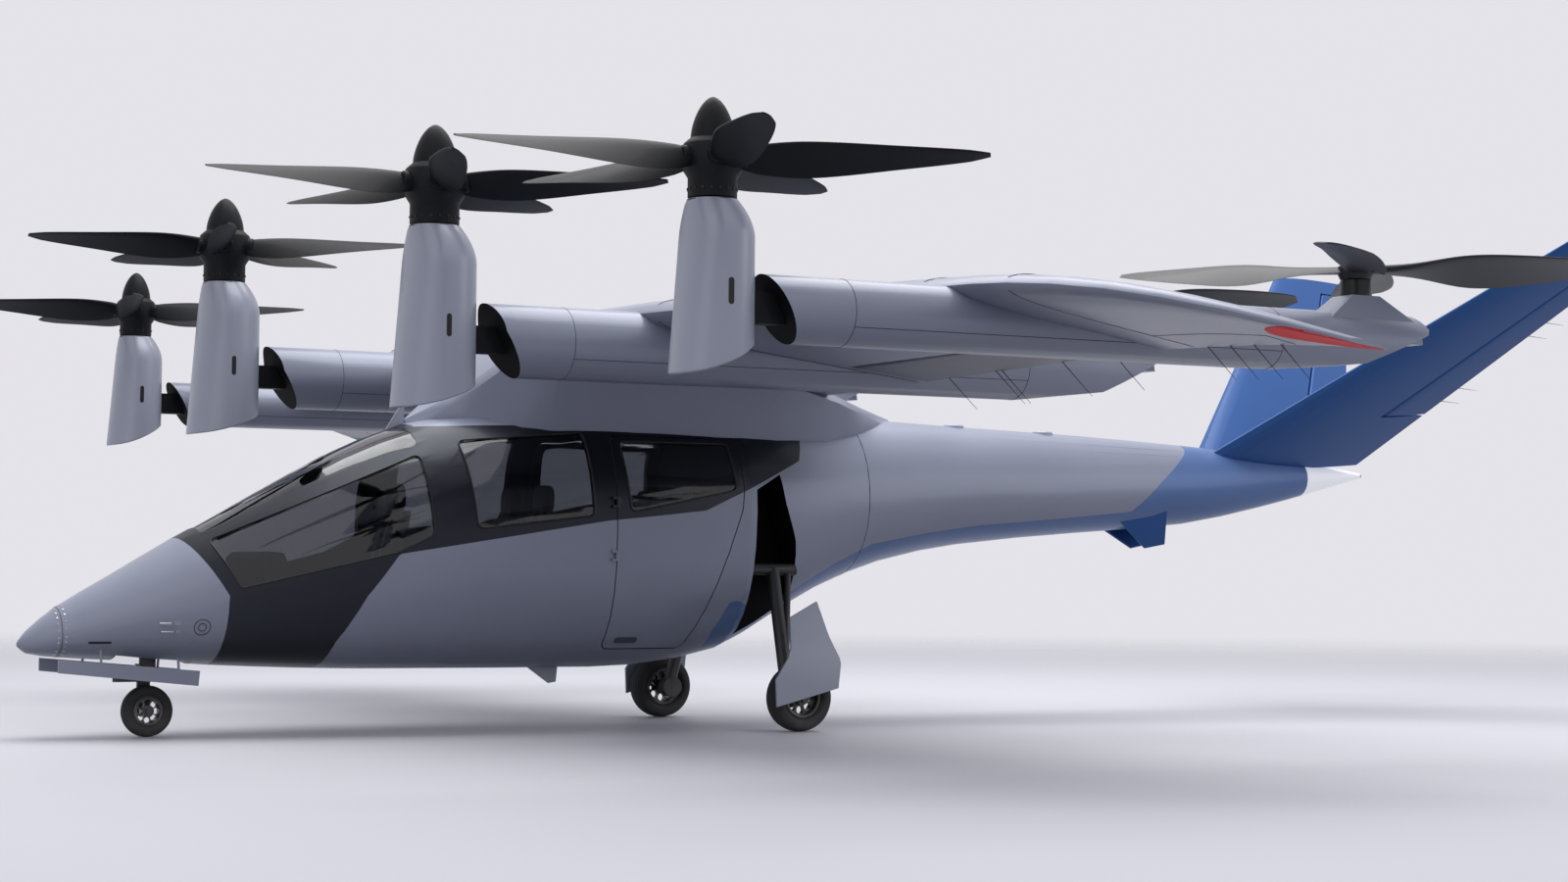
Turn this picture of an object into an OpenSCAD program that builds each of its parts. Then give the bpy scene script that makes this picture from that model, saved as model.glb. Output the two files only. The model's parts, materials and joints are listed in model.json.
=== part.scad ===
// Electric air taxi: a high wing on four booms, tilting propellers ahead of it and lift rotors behind it,
// a V tail and fixed tricycle gear. Millimetres, +X forward, +Y left, +Z up.
// The origin lies on the ground under the middle of the outline. A station is a distance aft of the nose.

/* [Overall] */
// Nose tip to the trailing tips of the V tail
overall_length = 13400; // [12500:10:15000]
// Wing tip to wing tip
wing_span = 15000; // [14800:10:16000]
// Line left between fixed pieces that meet
seam = 0.4; // [0.2:0.1:0.8]
// Gap round a moving panel
panel_gap = 8; // [6:1:15]
// Radial clearance of a pin in its bore
pin_clearance = 0.1; // [0.05:0.05:0.3]

/* [Fuselage] */
// Station of the radome joint
radome_joint = 260; // [200:5:320]
// Station where the windscreen's foot meets the nose on the centre line
nose_top = 1080; // [1040:5:1120]
// Station of the lower cabin front
cabin_start = 1340; // [1300:5:1380]
// Station of the bulkhead behind the cabin
cabin_end = 5280; // [5260:5:5320]
// Reach of the V tail's tips behind the tail's end
fin_overhang = 1520; // [1300:10:1700]
// Thickness of the cabin's walls and doors
wall = 50; // [40:1:60]
// Thickness of the tail boom's skin
tail_skin = 25; // [15:1:40]
// Thickness of the windows
glass = 12; // [6:1:20]
// Depth of the windows' outer face below the skin
glass_inset = 5; // [2:1:10]
// Height of the cabin floor's top
floor_z = 660; // [630:5:700]
// Thickness of the cabin floor
floor_t = 40; // [20:1:60]

/* [Doors] */
// Station of the doors' front edge
door_front = 4140; // [4100:5:4180]
// Height of the doors' lower edge
door_sill = 600; // [560:5:680]
// Height of the doors' top edge
door_head = 2180; // [2160:5:2190]
// Radius of the door hinge pins
hinge_pin_r = 8; // [6:1:10]
// Heights of the door hinges
hinge_zs = [1290, 1680];

/* [Wing] */
// Chord share of the flaps' hinge line
flap_share = 0.74; // [0.70:0.01:0.78]
// Inner and outer ends of the flaps, from the centre line
flap_ys = [2520, 5270];
// Radius of the flap and ruddervator hinge pins
surface_pin_r = 12; // [8:1:16]

/* [Tail] */
// Half spread of the V tail's tips
fin_tip_y = 1960; // [1800:10:2100]
// Height of the V tail's tips
fin_tip_z = 4020; // [3800:10:4080]
// Chord of the fins at the tip
fin_tip_chord = 900; // [700:10:1100]
// Root of the fins, leading and trailing, ahead of the tips' trailing edge
fin_root_ahead = [3320, 1610];
// Chord share of the ruddervators' hinge line
rudder_share = 0.70; // [0.65:0.01:0.75]
// Ends of the ruddervators as shares of the fins' span
rudder_span = [0.24, 0.92];

/* [Propellers and rotors] */
// Radius of the tilting propellers
prop_r = 1550; // [1450:10:1600]
// Blades on each tilting propeller
prop_blades = 5; // [4:1:6]
// Radius of the lift rotors
rotor_r = 1500; // [1400:10:1600]
// Blades on each lift rotor
rotor_blades = 4; // [2:1:4]
// Width of the arm that carries a tilting nacelle
arm_w = 120; // [90:5:150]
// Radius of the tilt pins
tilt_pin_r = 35; // [25:1:45]
// Gap between a nacelle's sweep and its boom
sweep_gap = 15; // [10:1:30]
// Gap under a turning hub
hub_gap = 8; // [6:1:12]
// Radius of the propellers' and rotors' shafts
shaft_r = 45; // [35:1:60]

/* [Landing gear] */
// Station of the nose wheel
nose_wheel_station = 912; // [880:2:940]
// Diameter and width of the nose tyre
nose_tyre = [360, 110];
// Station of the main wheels
main_wheel_station = 5500; // [5480:2:5520]
// Main wheels' centre from the centre line
main_wheel_y = 1138; // [1120:2:1160]
// Diameter and width of the main tyres
main_tyre = [500, 180];
// Radius of the main wheels' axles
main_axle_r = 30; // [22:1:36]
// Radius of the nose wheel's axle
nose_axle_r = 20; // [15:1:25]
// Reach of the tow bar lug ahead of the nose wheel's axle
lug_x = 215; // [205:1:220]
// Radius of the tow bar bore in the nose fork's lug
tow_bore_r = 11; // [8:1:14]

/* [Hidden] */
$fn = 48;

function X(station) = overall_length / 2 - station;
function at(station, y, z) = [X(station), y, z];
tail_end = overall_length - fin_overhang;
fin_tip_station = overall_length - fin_tip_chord;
fin_root = [overall_length - fin_root_ahead[0], overall_length - fin_root_ahead[1]];
// The tail is drawn between these stations and stretched to its real ends
tail_drawn = [5280, 11880];
function aft(s) = cabin_end + (s - tail_drawn[0]) * (tail_end - cabin_end) / (tail_drawn[1] - tail_drawn[0]);

paint = [0.66, 0.69, 0.75];
pale = [0.80, 0.82, 0.87];
dark = [0.06, 0.06, 0.07];
tint = [0.05, 0.07, 0.10, 0.7];
blue = [0.08, 0.17, 0.42];
trim = [0.22, 0.23, 0.25];
steel = [0.55, 0.56, 0.58];

// Fuselage sections. Columns: station, belly, crown, half width, shoulder height, lower and upper fullness
FUSELAGE = [
  [0,            636,  664,  12,  650,  2.0, 2.0],
  [60,           588,  742,  84,  655,  2.0, 2.0],
  [radome_joint, 562,  905,  205, 700,  1.9, 2.0],
  [620,          540,  1118, 345, 790,  1.9, 2.0],
  [nose_top,     515,  1390, 490, 905,  2.1, 2.0],
  [cabin_start,  498,  1530, 555, 975,  2.2, 2.05],
  [1960,         472,  1880, 685, 1150, 2.4, 2.15],
  [2500,         460,  2145, 775, 1290, 2.5, 2.2],
  [3200,         455,  2365, 825, 1400, 2.6, 2.3],
  [4000,         455,  2440, 835, 1480, 2.6, 2.4],
  [4600,         465,  2455, 825, 1540, 2.5, 2.4],
  [cabin_end,    580,  2450, 785, 1620, 2.4, 2.3],
  [aft(5750),    815,  2440, 725, 1680, 2.2, 2.2],
  [aft(6200),    1050, 2425, 645, 1730, 2.1, 2.1],
  [aft(6800),    1265, 2405, 550, 1780, 2.0, 2.0],
  [aft(7600),    1415, 2375, 460, 1830, 1.9, 1.9],
  [aft(8800),    1525, 2335, 370, 1880, 1.9, 1.9],
  [aft(9900),    1615, 2285, 295, 1930, 1.9, 1.9],
  [aft(10700),   1765, 2225, 210, 1990, 2.0, 2.0],
  [aft(11300),   1905, 2165, 125, 2035, 2.0, 2.0],
  [tail_end,     2052, 2088, 18,  2070, 2.0, 2.0]];
ring_n = 32;

// Wing sections. Columns: distance from the centre line, leading and trailing station, leading and trailing
// height, thickness share
WING = [
  [0,             3560, 6120, 2930, 2545, 0.125],
  [2200,          3590, 5780, 2925, 2535, 0.135],
  [5500,          3920, 5430, 2850, 2545, 0.135],
  [6100,          4020, 5385, 2830, 2525, 0.13],
  [6700,          4260, 5370, 2760, 2500, 0.12],
  [7200,          4720, 5450, 2625, 2465, 0.11],
  [wing_span / 2, 5330, 5600, 2470, 2430, 0.10]];
wing_camber = 0.03;
edge_t = 4;

// Roof fairing under the wing. Columns: station, half width at the roof, half width at the wing, top height
FAIRING = [[2800, 60, 60, 2280], [3050, 250, 300, 2440], [3300, 420, 520, 2660], [3480, 520, 680, 2860],
           [3700, 580, 800, 2900], [4300, 610, 860, 2860], [5000, 610, 860, 2780], [5600, 570, 800, 2650],
           [6120, 480, 640, 2545], [6500, 330, 400, 2470], [6950, 60, 60, 2410]];
fairing_foot = 2150;

// Tilt units, with the columns named below
INBOARD  = [2176, 2131, 2700, 245, 275, 3435, 3720, 4106, 163, 2230, 2395, 2440, 2720, 7890, 7430];
OUTBOARD = [5549, 2414, 2660, 195, 235, 3252, 3490, 3831, 139, 2270, 2460, 2720, 2910, 7520, 7060];
UNIT_Y = 0;
UNIT_STATION = 1;
AXIS_Z = 2;
BOOM_R = 3;
NACELLE_R = 4;
JOINT_Z = 5;
BLADE_Z = 6;
SPINNER_Z = 7;
COLLAR_R = 8;
CHIN_Z = 9;
HEEL_Z = 10;
BOOM_TOP = 11;
BOOM_CHIN = 12;
BOOM_END = 13;
ROTOR_STATION = 14;

// Blades. Columns: share of the radius, chord, pitch, thickness
PROP_BLADE = [[0.08, 110, 52, 70], [0.16, 190, 50, 60], [0.36, 270, 40, 38], [0.68, 225, 27, 24],
              [0.92, 140, 20, 15], [1.0, 50, 18, 8]];
ROTOR_BLADE = [[0.05, 130, 10, 50], [0.2, 200, 14, 44], [0.45, 400, 24, 34], [0.72, 440, 18, 26],
               [0.93, 340, 12, 18], [1.0, 170, 10, 10]];

// Side outlines as points of station and height
COCKPIT_PANE = [[1230, 1372], [2700, 2010], [2735, 1430], [2470, 1300], [1390, 1040]];
CABIN_PANE = [[2985, 2110], [door_front - 195, 2195], [door_front - 175, 1580], [3055, 1475]];
DOOR = [[door_front, door_sill], [door_front, door_head], [5205, door_head], [5230, 1790],
        [5215, 1650], [4850, door_sill]];
DOOR_PANE = [[door_front + 70, door_head - 45], [5125, door_head - 40], [5160, 1790],
             [door_front + 120, 1610]];
MAIN_BAY = [[5340, 1800], [5560, 1920], [5610, 1690], [5715, 1410], [5775, 1010], [5760, 400], [5330, 400],
            [5330, 1050]];
LEG_FAIRING = [[5450, 840], [5720, 960], [5740, 700], [5790, 500], [5770, 320], [5250, 190], [5240, 390],
               [5390, 620]];
NOSE_DOOR = [[220, 550], [1210, 465], [1200, 360], [220, 460]];
// Windscreen outline as points of station and half width
SCREEN_PLAN = [[1215, 215], [2720, 490]];
screen_z = 1340;
bay_wall_y = 400;
nose_bay_half = 165;
nose_bay_top = 790;
nose_bay = [640, 1180];
tail_hollow = [aft(6200), aft(11000)];
battery_box = [[5400, 5980], 330, [1130, 2230]];

function signed_power(v, e) = sign(v) * pow(abs(v), e);
function row_at(t, s, i = 0) = i >= len(t) - 2 || s < t[i + 1][0] ? i : row_at(t, s, i + 1);
function slope(t, c, i) =
  let(a = max(i - 1, 0), b = min(i + 1, len(t) - 1)) (t[b][c] - t[a][c]) / (t[b][0] - t[a][0]);
// Smooth curve through column c of table t
function curve(t, c, s) =
  let(i = row_at(t, s), h = t[i + 1][0] - t[i][0], u = (s - t[i][0]) / h)
  (2 * u^3 - 3 * u^2 + 1) * t[i][c] + (u^3 - 2 * u^2 + u) * h * slope(t, c, i)
  + (3 * u^2 - 2 * u^3) * t[i + 1][c] + (u^3 - u^2) * h * slope(t, c, i + 1);
// Rows of table t from a to b, with the middle of each interval
function steps(t, a, b) =
  let(all = [for (i = [0 : len(t) - 2]) each [t[i][0], (t[i][0] + t[i + 1][0]) / 2]])
  concat([a], [for (s = all) if (s > a + 1 && s < b - 1) s], [b]);
function mix(a, b, u) = a + (b - a) * u;

// Fuselage section at a station, drawn inward by inset
function body_ring(s, inset) =
  let(belly = curve(FUSELAGE, 1, s) + inset, crown = curve(FUSELAGE, 2, s) - inset,
      half = curve(FUSELAGE, 3, s) - inset, shoulder = curve(FUSELAGE, 4, s),
      low = 2 / curve(FUSELAGE, 5, s), up = 2 / curve(FUSELAGE, 6, s))
  [for (k = [0 : ring_n - 1]) let(a = 360 * k / ring_n, below = sin(a) < 0, e = below ? low : up)
    at(s, half * signed_power(cos(a), e),
       shoulder + (below ? shoulder - belly : crown - shoulder) * signed_power(sin(a), e))];

// Aerofoil from one chord share to another: points of share, mean line, half thickness and side
function foil_half(x, t) =
  5 * t * (0.2969 * sqrt(x) - 0.126 * x - 0.3516 * x^2 + 0.2843 * x^3 - 0.1036 * x^4);
function foil_mean(x, m) = x < 0.4 ? m / 0.16 * (0.8 * x - x^2) : m / 0.36 * (0.2 + 0.8 * x - x^2);
function foil_side(shares, t, m, side) = [for (x = shares) [x, foil_mean(x, m), foil_half(x, t), side]];
function foil(t, m, n) =
  let(shares = [for (i = [0 : n]) (1 - cos(180 * i / n)) / 2])
  concat(foil_side(shares, t, m, 1), foil_side([for (i = [n : -1 : 1]) shares[i]], t, m, -1));
// Hinged rear part of an aerofoil with a round nose, as offsets aft and up from the hinge
function hinged_foil(share, chord, t, m, n) =
  let(r = foil_half(share, t) * chord + edge_t / 2, z0 = foil_mean(share, m) * chord,
      shares = [for (i = [0 : n]) mix(share, 1, i / n)])
  concat([for (a = [0 : 22.5 : 67.5]) [-r * cos(a), r * sin(a)]],
    [for (x = shares)
      [(x - share) * chord, foil_mean(x, m) * chord - z0 + foil_half(x, t) * chord + edge_t / 2]],
    [for (i = [n : -1 : 0]) let(x = shares[i])
      [(x - share) * chord, foil_mean(x, m) * chord - z0 - foil_half(x, t) * chord - edge_t / 2]],
    [for (a = [-67.5 : 22.5 : -22.5]) [-r * cos(a), r * sin(a)]]);

// Solid through rings of points; looking from the first ring to the last, the points run anticlockwise
module loft(rings) {
  n = len(rings[0]);
  last = len(rings) - 1;
  sides = [for (j = [0 : last - 1], k = [0 : n - 1])
    let(a = j * n + k, b = j * n + (k + 1) % n) each [[a, b, b + n], [a, b + n, a + n]]];
  polyhedron([for (r = rings) each r],
    concat(sides, [[for (k = [n - 1 : -1 : 0]) k]], [[for (k = [0 : n - 1]) last * n + k]]));
}
module fuselage(from, to, inset = 0) loft([for (s = steps(FUSELAGE, from, to)) body_ring(s, inset)]);
// Side outline, given as stations and heights, between two distances from the centre line
module side_prism(outline, y0, y1)
  rotate([90, 0, 0]) translate([0, 0, -y1]) linear_extrude(y1 - y0)
    polygon([for (p = outline) [X(p[0]), p[1]]]);
module rounded_prism(outline, r, y0, y1, shrink = 0)
  rotate([90, 0, 0]) translate([0, 0, -y1]) linear_extrude(y1 - y0)
    offset(r = r, $fn = 24) offset(delta = -r - shrink) polygon([for (p = outline) [X(p[0]), p[1]]]);
// Outline in the plane across the fuselage, as distances from the centre line and heights
module cross_prism(outline, s0, s1)
  translate([X(s1), 0, 0]) rotate([90, 0, 90]) linear_extrude(s1 - s0) polygon(outline);
module both_sides() {
  children();
  mirror([0, 1, 0]) children();
}
module rod(a, b, r) {
  d = b - a;
  translate(a) rotate([0, acos(d[2] / norm(d)), atan2(d[1], d[0])]) cylinder(h = norm(d), r = r);
}
module cross_rod(station, z, y0, y1, r) rod(at(station, y0, z), at(station, y1, z), r);
// Block between two stations, two distances from the centre line and two heights
module block(s, y, z) translate(at(s[1], y[0], z[0])) cube([s[1] - s[0], y[1] - y[0], z[1] - z[0]]);

// Fuselage

function cabin_front(shift) =
  [[nose_top - 600 + shift, 3000], [nose_top + shift, 1395], [cabin_start - 20 + shift, 990],
   [cabin_start - 50 + shift, 0]];
module ahead_of_cabin(shift) side_prism(concat([[0, 3000]], cabin_front(shift), [[0, 0]]), -2000, 2000);
module behind_nose() side_prism(concat(cabin_front(-seam), [[3000, 0], [3000, 3000]]), -2000, 2000);

module radome() color(pale) fuselage(0, radome_joint - seam);

module nose_shell() color(paint) difference() {
  fuselage(radome_joint, cabin_start);
  behind_nose();
  block(nose_bay, [-nose_bay_half, nose_bay_half], [0, nose_bay_top]);
}

module cabin_space() difference() {
  rings = [for (s = steps(FUSELAGE, nose_top, cabin_end - wall)) body_ring(s, wall)];
  for (i = [0 : len(rings) - 2]) hull() loft([rings[i], rings[i + 1]]);
  ahead_of_cabin(wall);
}
sill_y = 430;
module cabin_shell() color(dark) difference() {
  fuselage(nose_top, cabin_end);
  ahead_of_cabin(0);
  cabin_space();
  both_sides() {
    rounded_prism(COCKPIT_PANE, 40, 120, 1500);
    rounded_prism(CABIN_PANE, 50, 300, 1500);
    rounded_prism(DOOR, 60, sill_y, 1500);
  }
  screen_prism(0);
}
module screen_prism(shrink) translate([0, 0, screen_z]) linear_extrude(1500)
  offset(r = 50, $fn = 24) offset(delta = -50 - shrink)
    polygon([for (i = [0, 1], side = [-1, 1])
      [X(SCREEN_PLAN[i][0]), (1 - 2 * i) * side * SCREEN_PLAN[i][1]]]);

// Piece of glass that follows the skin inside an opening
module pane(from, to) intersection() {
  difference() {
    fuselage(from, to, glass_inset);
    fuselage(from - 150, to + 150, glass_inset + glass);
  }
  children();
}
module windscreen() color(tint) pane(nose_top, 3200) screen_prism(seam);
module cockpit_glass() color(tint) both_sides()
  pane(nose_top, 3200) rounded_prism(COCKPIT_PANE, 40, 120, 1500, seam);
module cabin_glass() color(tint) both_sides()
  pane(2500, 4600) rounded_prism(CABIN_PANE, 50, 300, 1500, seam);

// Floor against the walls ahead of the doors, and clear of the doors behind their front edge
module floor_part(from, to, gap) intersection() {
  fuselage(nose_top, cabin_end - wall - seam, wall + gap);
  block([from, to], [-900, 900], [floor_z - floor_t, floor_z]);
}
module cabin_floor() color(trim) {
  floor_part(cabin_start + wall + 40, door_front - 20, seam);
  floor_part(door_front - 21, cabin_end, panel_gap);
}

panel_half = 400;
module instrument_panel() color(trim) {
  side_prism([[1600, 1120], [1590, 1260], [1640, 1300], [1760, 1290], [1830, 1130], [1810, 1000],
              [1700, 980]],
             -panel_half, panel_half);
  side_prism([[1660, 1000], [1800, 1000], [1960, floor_z + seam], [1640, floor_z + seam]], -120, 120);
}

// Seat whose back meets its cushion at a station
seat_w = 430;
pilot_station = 2600;
passenger_stations = [3650, 4800];
passenger_y = 300;
module seat(station, y) {
  foot = floor_z + seam;
  half = seat_w / 2;
  block([station - 420, station - 60], [y - 0.6 * half, y + 0.6 * half], [foot, floor_z + 220]);
  rounded_prism([[station - 520, floor_z + 210], [station - 510, floor_z + 350], [station, floor_z + 330],
                 [station + 60, floor_z + 210]], 30, y - half, y + half);
  rounded_prism([[station - 60, floor_z + 260], [station + 90, floor_z + 960], [station + 190, floor_z + 950],
                 [station + 70, floor_z + 220]], 30, y - half, y + half);
  rounded_prism([[station + 90, floor_z + 900], [station + 105, floor_z + 1160],
                 [station + 195, floor_z + 1150],
                 [station + 180, floor_z + 900]], 30, y - 0.6 * half, y + 0.6 * half);
}
module pilot_seat() color(trim) seat(pilot_station, 0);
module passenger_seats() color(trim) both_sides() for (s = passenger_stations) seat(s, passenger_y);

// Doors, hinged on upright pins at their front edge

hinge_station = door_front + panel_gap / 2;
hinge_y = curve(FUSELAGE, 3, door_front) + 10;
knuckle_r = 2 * hinge_pin_r;
knuckle_h = 40;
leaf = 45;
module door_skin() difference() {
  fuselage(4000, cabin_end);
  fuselage(3900, 5400, wall);
}
module door() {
  difference() {
    union() {
      intersection() {
        door_skin();
        rounded_prism(DOOR, 60 - panel_gap, sill_y + panel_gap, 1500, panel_gap);
      }
      for (z = hinge_zs) translate(at(hinge_station, hinge_y, z - knuckle_h / 2)) {
        cylinder(h = knuckle_h, r = knuckle_r);
        translate([-leaf, -leaf, 0]) cube([leaf, leaf + 6, knuckle_h]);
      }
    }
    for (z = hinge_zs) translate(at(hinge_station, hinge_y, z - knuckle_h))
      cylinder(h = 2 * knuckle_h, r = hinge_pin_r + pin_clearance);
    rounded_prism(DOOR_PANE, 50, 300, 1500);
  }
}
module door_pane() pane(4000, cabin_end) rounded_prism(DOOR_PANE, 50, 300, 1500, seam);
module left_door() color(paint) door();
module right_door() color(paint) mirror([0, 1, 0]) door();
module left_door_glass() color(tint) door_pane();
module right_door_glass() color(tint) mirror([0, 1, 0]) door_pane();
module door_hinges() color(steel) both_sides() for (z = hinge_zs) {
  translate(at(hinge_station, hinge_y, z - knuckle_h)) cylinder(h = 2 * knuckle_h, r = hinge_pin_r);
  difference() {
    for (up = [-1, 1])
      translate(at(hinge_station, hinge_y, z + up * (0.75 * knuckle_h + 1) - knuckle_h / 4)) {
      cylinder(h = knuckle_h / 2, r = knuckle_r);
      translate([0, -leaf, 0]) cube([leaf, leaf + 6, knuckle_h / 2]);
    }
    fuselage(4000, 4600, -seam);
    rounded_prism(DOOR, 60, sill_y, hinge_y - knuckle_r, -seam);
  }
}

// Tail boom, with the main gear bays and the battery bay ahead of its hollow part

module tail_boom() color(paint) difference() {
  fuselage(cabin_end + seam, tail_end);
  fuselage(tail_hollow[0], tail_hollow[1], tail_skin);
  both_sides() side_prism(MAIN_BAY, bay_wall_y, 1500);
  block(battery_box[0], [-battery_box[1], battery_box[1]], battery_box[2]);
}
module battery_pack() color(dark) block([battery_box[0][0] + seam, battery_box[0][1] - seam],
  [seam - battery_box[1], battery_box[1] - seam], [battery_box[2][0] + seam, battery_box[2][1] - seam]);

// Wing

function wing_ring(y, grow = 0) =
  let(d = abs(y), lead = curve(WING, 1, d) - grow, chord = curve(WING, 2, d) + grow - lead,
      z0 = curve(WING, 3, d), drop = curve(WING, 4, d) - z0)
  [for (p = foil(curve(WING, 5, d), wing_camber, 12))
    at(lead + p[0] * chord, y, z0 + p[0] * drop + p[1] * chord + p[3] * (p[2] * chord + edge_t / 2 + grow))];
wing_ys = let(half = steps(WING, 0, wing_span / 2))
  concat([for (i = [len(half) - 1 : -1 : 1]) -half[i]], half);
module wing_between(y0, y1, grow = 0)
  loft([for (y = wing_ys) if (y >= y0 && y <= y1) wing_ring(y, grow)]);

function flap_chord(y) = curve(WING, 2, y) - curve(WING, 1, y);
function flap_hinge(y) =
  let(chord = flap_chord(y))
  at(curve(WING, 1, y) + flap_share * chord, y,
     mix(curve(WING, 3, y), curve(WING, 4, y), flap_share) + foil_mean(flap_share, wing_camber) * chord);
function flap_r(y) = foil_half(flap_share, curve(WING, 5, y)) * flap_chord(y) + edge_t / 2;
function flap_ring(y) =
  let(h = flap_hinge(y), chord = flap_chord(y), drop = curve(WING, 4, y) - curve(WING, 3, y))
  [for (p = hinged_foil(flap_share, chord, curve(WING, 5, y), wing_camber, 5))
    [h[0] - p[0], y, h[2] + p[1] + max(p[0], 0) / chord * drop]];
flap_axis = let(d = flap_hinge(flap_ys[1]) - flap_hinge(flap_ys[0])) d / norm(d);
pin_in = 15;
pin_out = 50;
module flap_pins(r)  {
  a = flap_hinge(flap_ys[0]);
  b = flap_hinge(flap_ys[1]);
  rod(a - pin_out * flap_axis, a + pin_in * flap_axis, r);
  rod(b - pin_in * flap_axis, b + pin_out * flap_axis, r);
}
module flap_cut() {
  cut = [for (i = [0, 1]) let(y = flap_ys[i]) [flap_hinge(y)[0] + flap_r(y) + panel_gap,
                                              y + (2 * i - 1) * panel_gap]];
  translate([0, 0, 2000]) linear_extrude(1500)
    polygon([cut[0], cut[1], [X(6500), cut[1][1]], [X(6500), cut[0][1]]]);
}
module wing() color(paint) difference() {
  wing_between(-wing_span / 2, wing_span / 2);
  both_sides() {
    flap_cut();
    flap_pins(surface_pin_r + pin_clearance);
  }
}
module flap() {
  loft([for (y = flap_ys) flap_ring(y)]);
  flap_pins(surface_pin_r);
}
module left_flap() color(paint) flap();
module right_flap() color(paint) mirror([0, 1, 0]) flap();

module wing_fairing() color(paint) difference() {
  for (i = [0 : len(FAIRING) - 2]) hull() for (row = [FAIRING[i], FAIRING[i + 1]])
    cross_prism([[-row[1], fairing_foot], [row[1], fairing_foot], [row[2], row[3] - 60],
                 [row[2] - 50, row[3]],
                 [50 - row[2], row[3]], [-row[2], row[3] - 60]], row[0], row[0] + 1);
  fuselage(2500, 7600, -seam);
  wing_between(-2200, 2200, seam);
}

// Booms, with a pedestal for a lift rotor at the rear

arm_r = 90;
arm_reach = 230;
function heel_r(u) = norm([u[NACELLE_R], u[AXIS_Z] - u[HEEL_Z]]);
function post_z(u) = u[AXIS_Z] + u[BOOM_R] + 105;
module at_unit(u) translate(at(u[UNIT_STATION], u[UNIT_Y], u[AXIS_Z])) children();
module arm_blank(u, grow) {
  h = arm_r + grow;
  w = arm_w / 2 + grow;
  aft = u[BOOM_CHIN] + arm_reach - u[UNIT_STATION];
  at_unit(u) translate([0, w, 0]) rotate([90, 0, 0]) linear_extrude(2 * w) {
    circle(h);
    translate([-aft - grow, -h]) square([aft + grow, 2 * h]);
  }
}
module boom(u) difference() {
  z = u[AXIS_Z];
  r = u[BOOM_R];
  c = u[ROTOR_STATION];
  union() {
    intersection() {
      rod(at(u[BOOM_TOP] - 50, u[UNIT_Y], z), at(u[BOOM_END], u[UNIT_Y], z), r);
      side_prism([[u[BOOM_TOP], z + r], [u[BOOM_CHIN], z - r], [u[BOOM_END] - 1180, z - r],
                  [u[BOOM_END] - 500, z - 0.7 * r], [u[BOOM_END] - 20, z + 0.3 * r],
                  [u[BOOM_END], z + 0.5 * r],
                  [u[BOOM_END] - 60, z + r]], u[UNIT_Y] - r, u[UNIT_Y] + r);
    }
    intersection() {
      side_prism([[c - 310, z], [c - 310, z + 0.75 * r], [c - 110, post_z(u)], [c + 110, post_z(u)],
                  [c + 420, z + 0.6 * r], [c + 420, z]], u[UNIT_Y] - r, u[UNIT_Y] + r);
      cross_prism([for (p = [[-0.8 * r, z], [0.8 * r, z], [100, post_z(u)], [-100, post_z(u)]])
                   [u[UNIT_Y] + p[0], p[1]]], c - 400, c + 500);
    }
  }
  at_unit(u) rotate([90, 0, 0]) cylinder(h = 2 * u[NACELLE_R], r = heel_r(u) + sweep_gap, center = true);
  arm_blank(u, seam);
}
module boom_pair(u) difference() {
  both_sides() boom(u);
  wing_between(-wing_span / 2, wing_span / 2, seam);
}
module inboard_booms() color(paint) boom_pair(INBOARD);
module outboard_booms() color(paint) boom_pair(OUTBOARD);

module tilt_arms() color(dark) both_sides() for (u = [INBOARD, OUTBOARD]) difference() {
  arm_blank(u, 0);
  at_unit(u) rotate([90, 0, 0]) cylinder(h = 2 * arm_w, r = tilt_pin_r + pin_clearance, center = true);
}

post_h = 100;
post_r = 100;
module at_rotor(u) translate(at(u[ROTOR_STATION], u[UNIT_Y], post_z(u) + seam)) children();
module rotor_posts() color(dark) both_sides() for (u = [INBOARD, OUTBOARD]) at_rotor(u) difference() {
  cylinder(h = post_h, r = post_r);
  translate([0, 0, 20]) cylinder(h = post_h, r = shaft_r + pin_clearance);
}

// Tilting nacelles, forked round their arms

cheek_gap = 6;
slot_gap = 10;
module nacelle(u) {
  r = u[NACELLE_R];
  top = u[JOINT_Z] - u[AXIS_Z];
  chin = u[CHIN_Z] - u[AXIS_Z];
  heel = u[HEEL_Z] - u[AXIS_Z];
  shoulder = top - 0.6 * r;
  slot = arm_r + slot_gap;
  at_unit(u) {
    difference() {
      intersection() {
        rotate_extrude() polygon([[0, chin], [r, chin], [r, shoulder], [u[COLLAR_R] + 6, top - 12],
                                  [u[COLLAR_R], top], [0, top]]);
        translate([-60, 0, chin]) cylinder(h = top - chin, r1 = r + 60, r2 = u[COLLAR_R] + 66);
        translate([0, r, 0]) rotate([90, 0, 0]) linear_extrude(2 * r)
          polygon([[r, chin], [r, top], [-r, top], [-r, heel]]);
      }
      translate([slot - 3 * r, -arm_w / 2 - cheek_gap, slot - 4 * r])
        cube([3 * r, arm_w + 2 * cheek_gap, 4 * r]);
      translate([0, 0, top - 2 * shaft_r]) cylinder(h = top, r = shaft_r + pin_clearance);
    }
    rotate([90, 0, 0]) cylinder(h = 1.7 * r, r = tilt_pin_r, center = true);
  }
}
module inboard_left_nacelle() color(pale) nacelle(INBOARD);
module inboard_right_nacelle() color(pale) mirror([0, 1, 0]) nacelle(INBOARD);
module outboard_left_nacelle() color(pale) nacelle(OUTBOARD);
module outboard_right_nacelle() color(pale) mirror([0, 1, 0]) nacelle(OUTBOARD);

// Propellers and rotors

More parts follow.
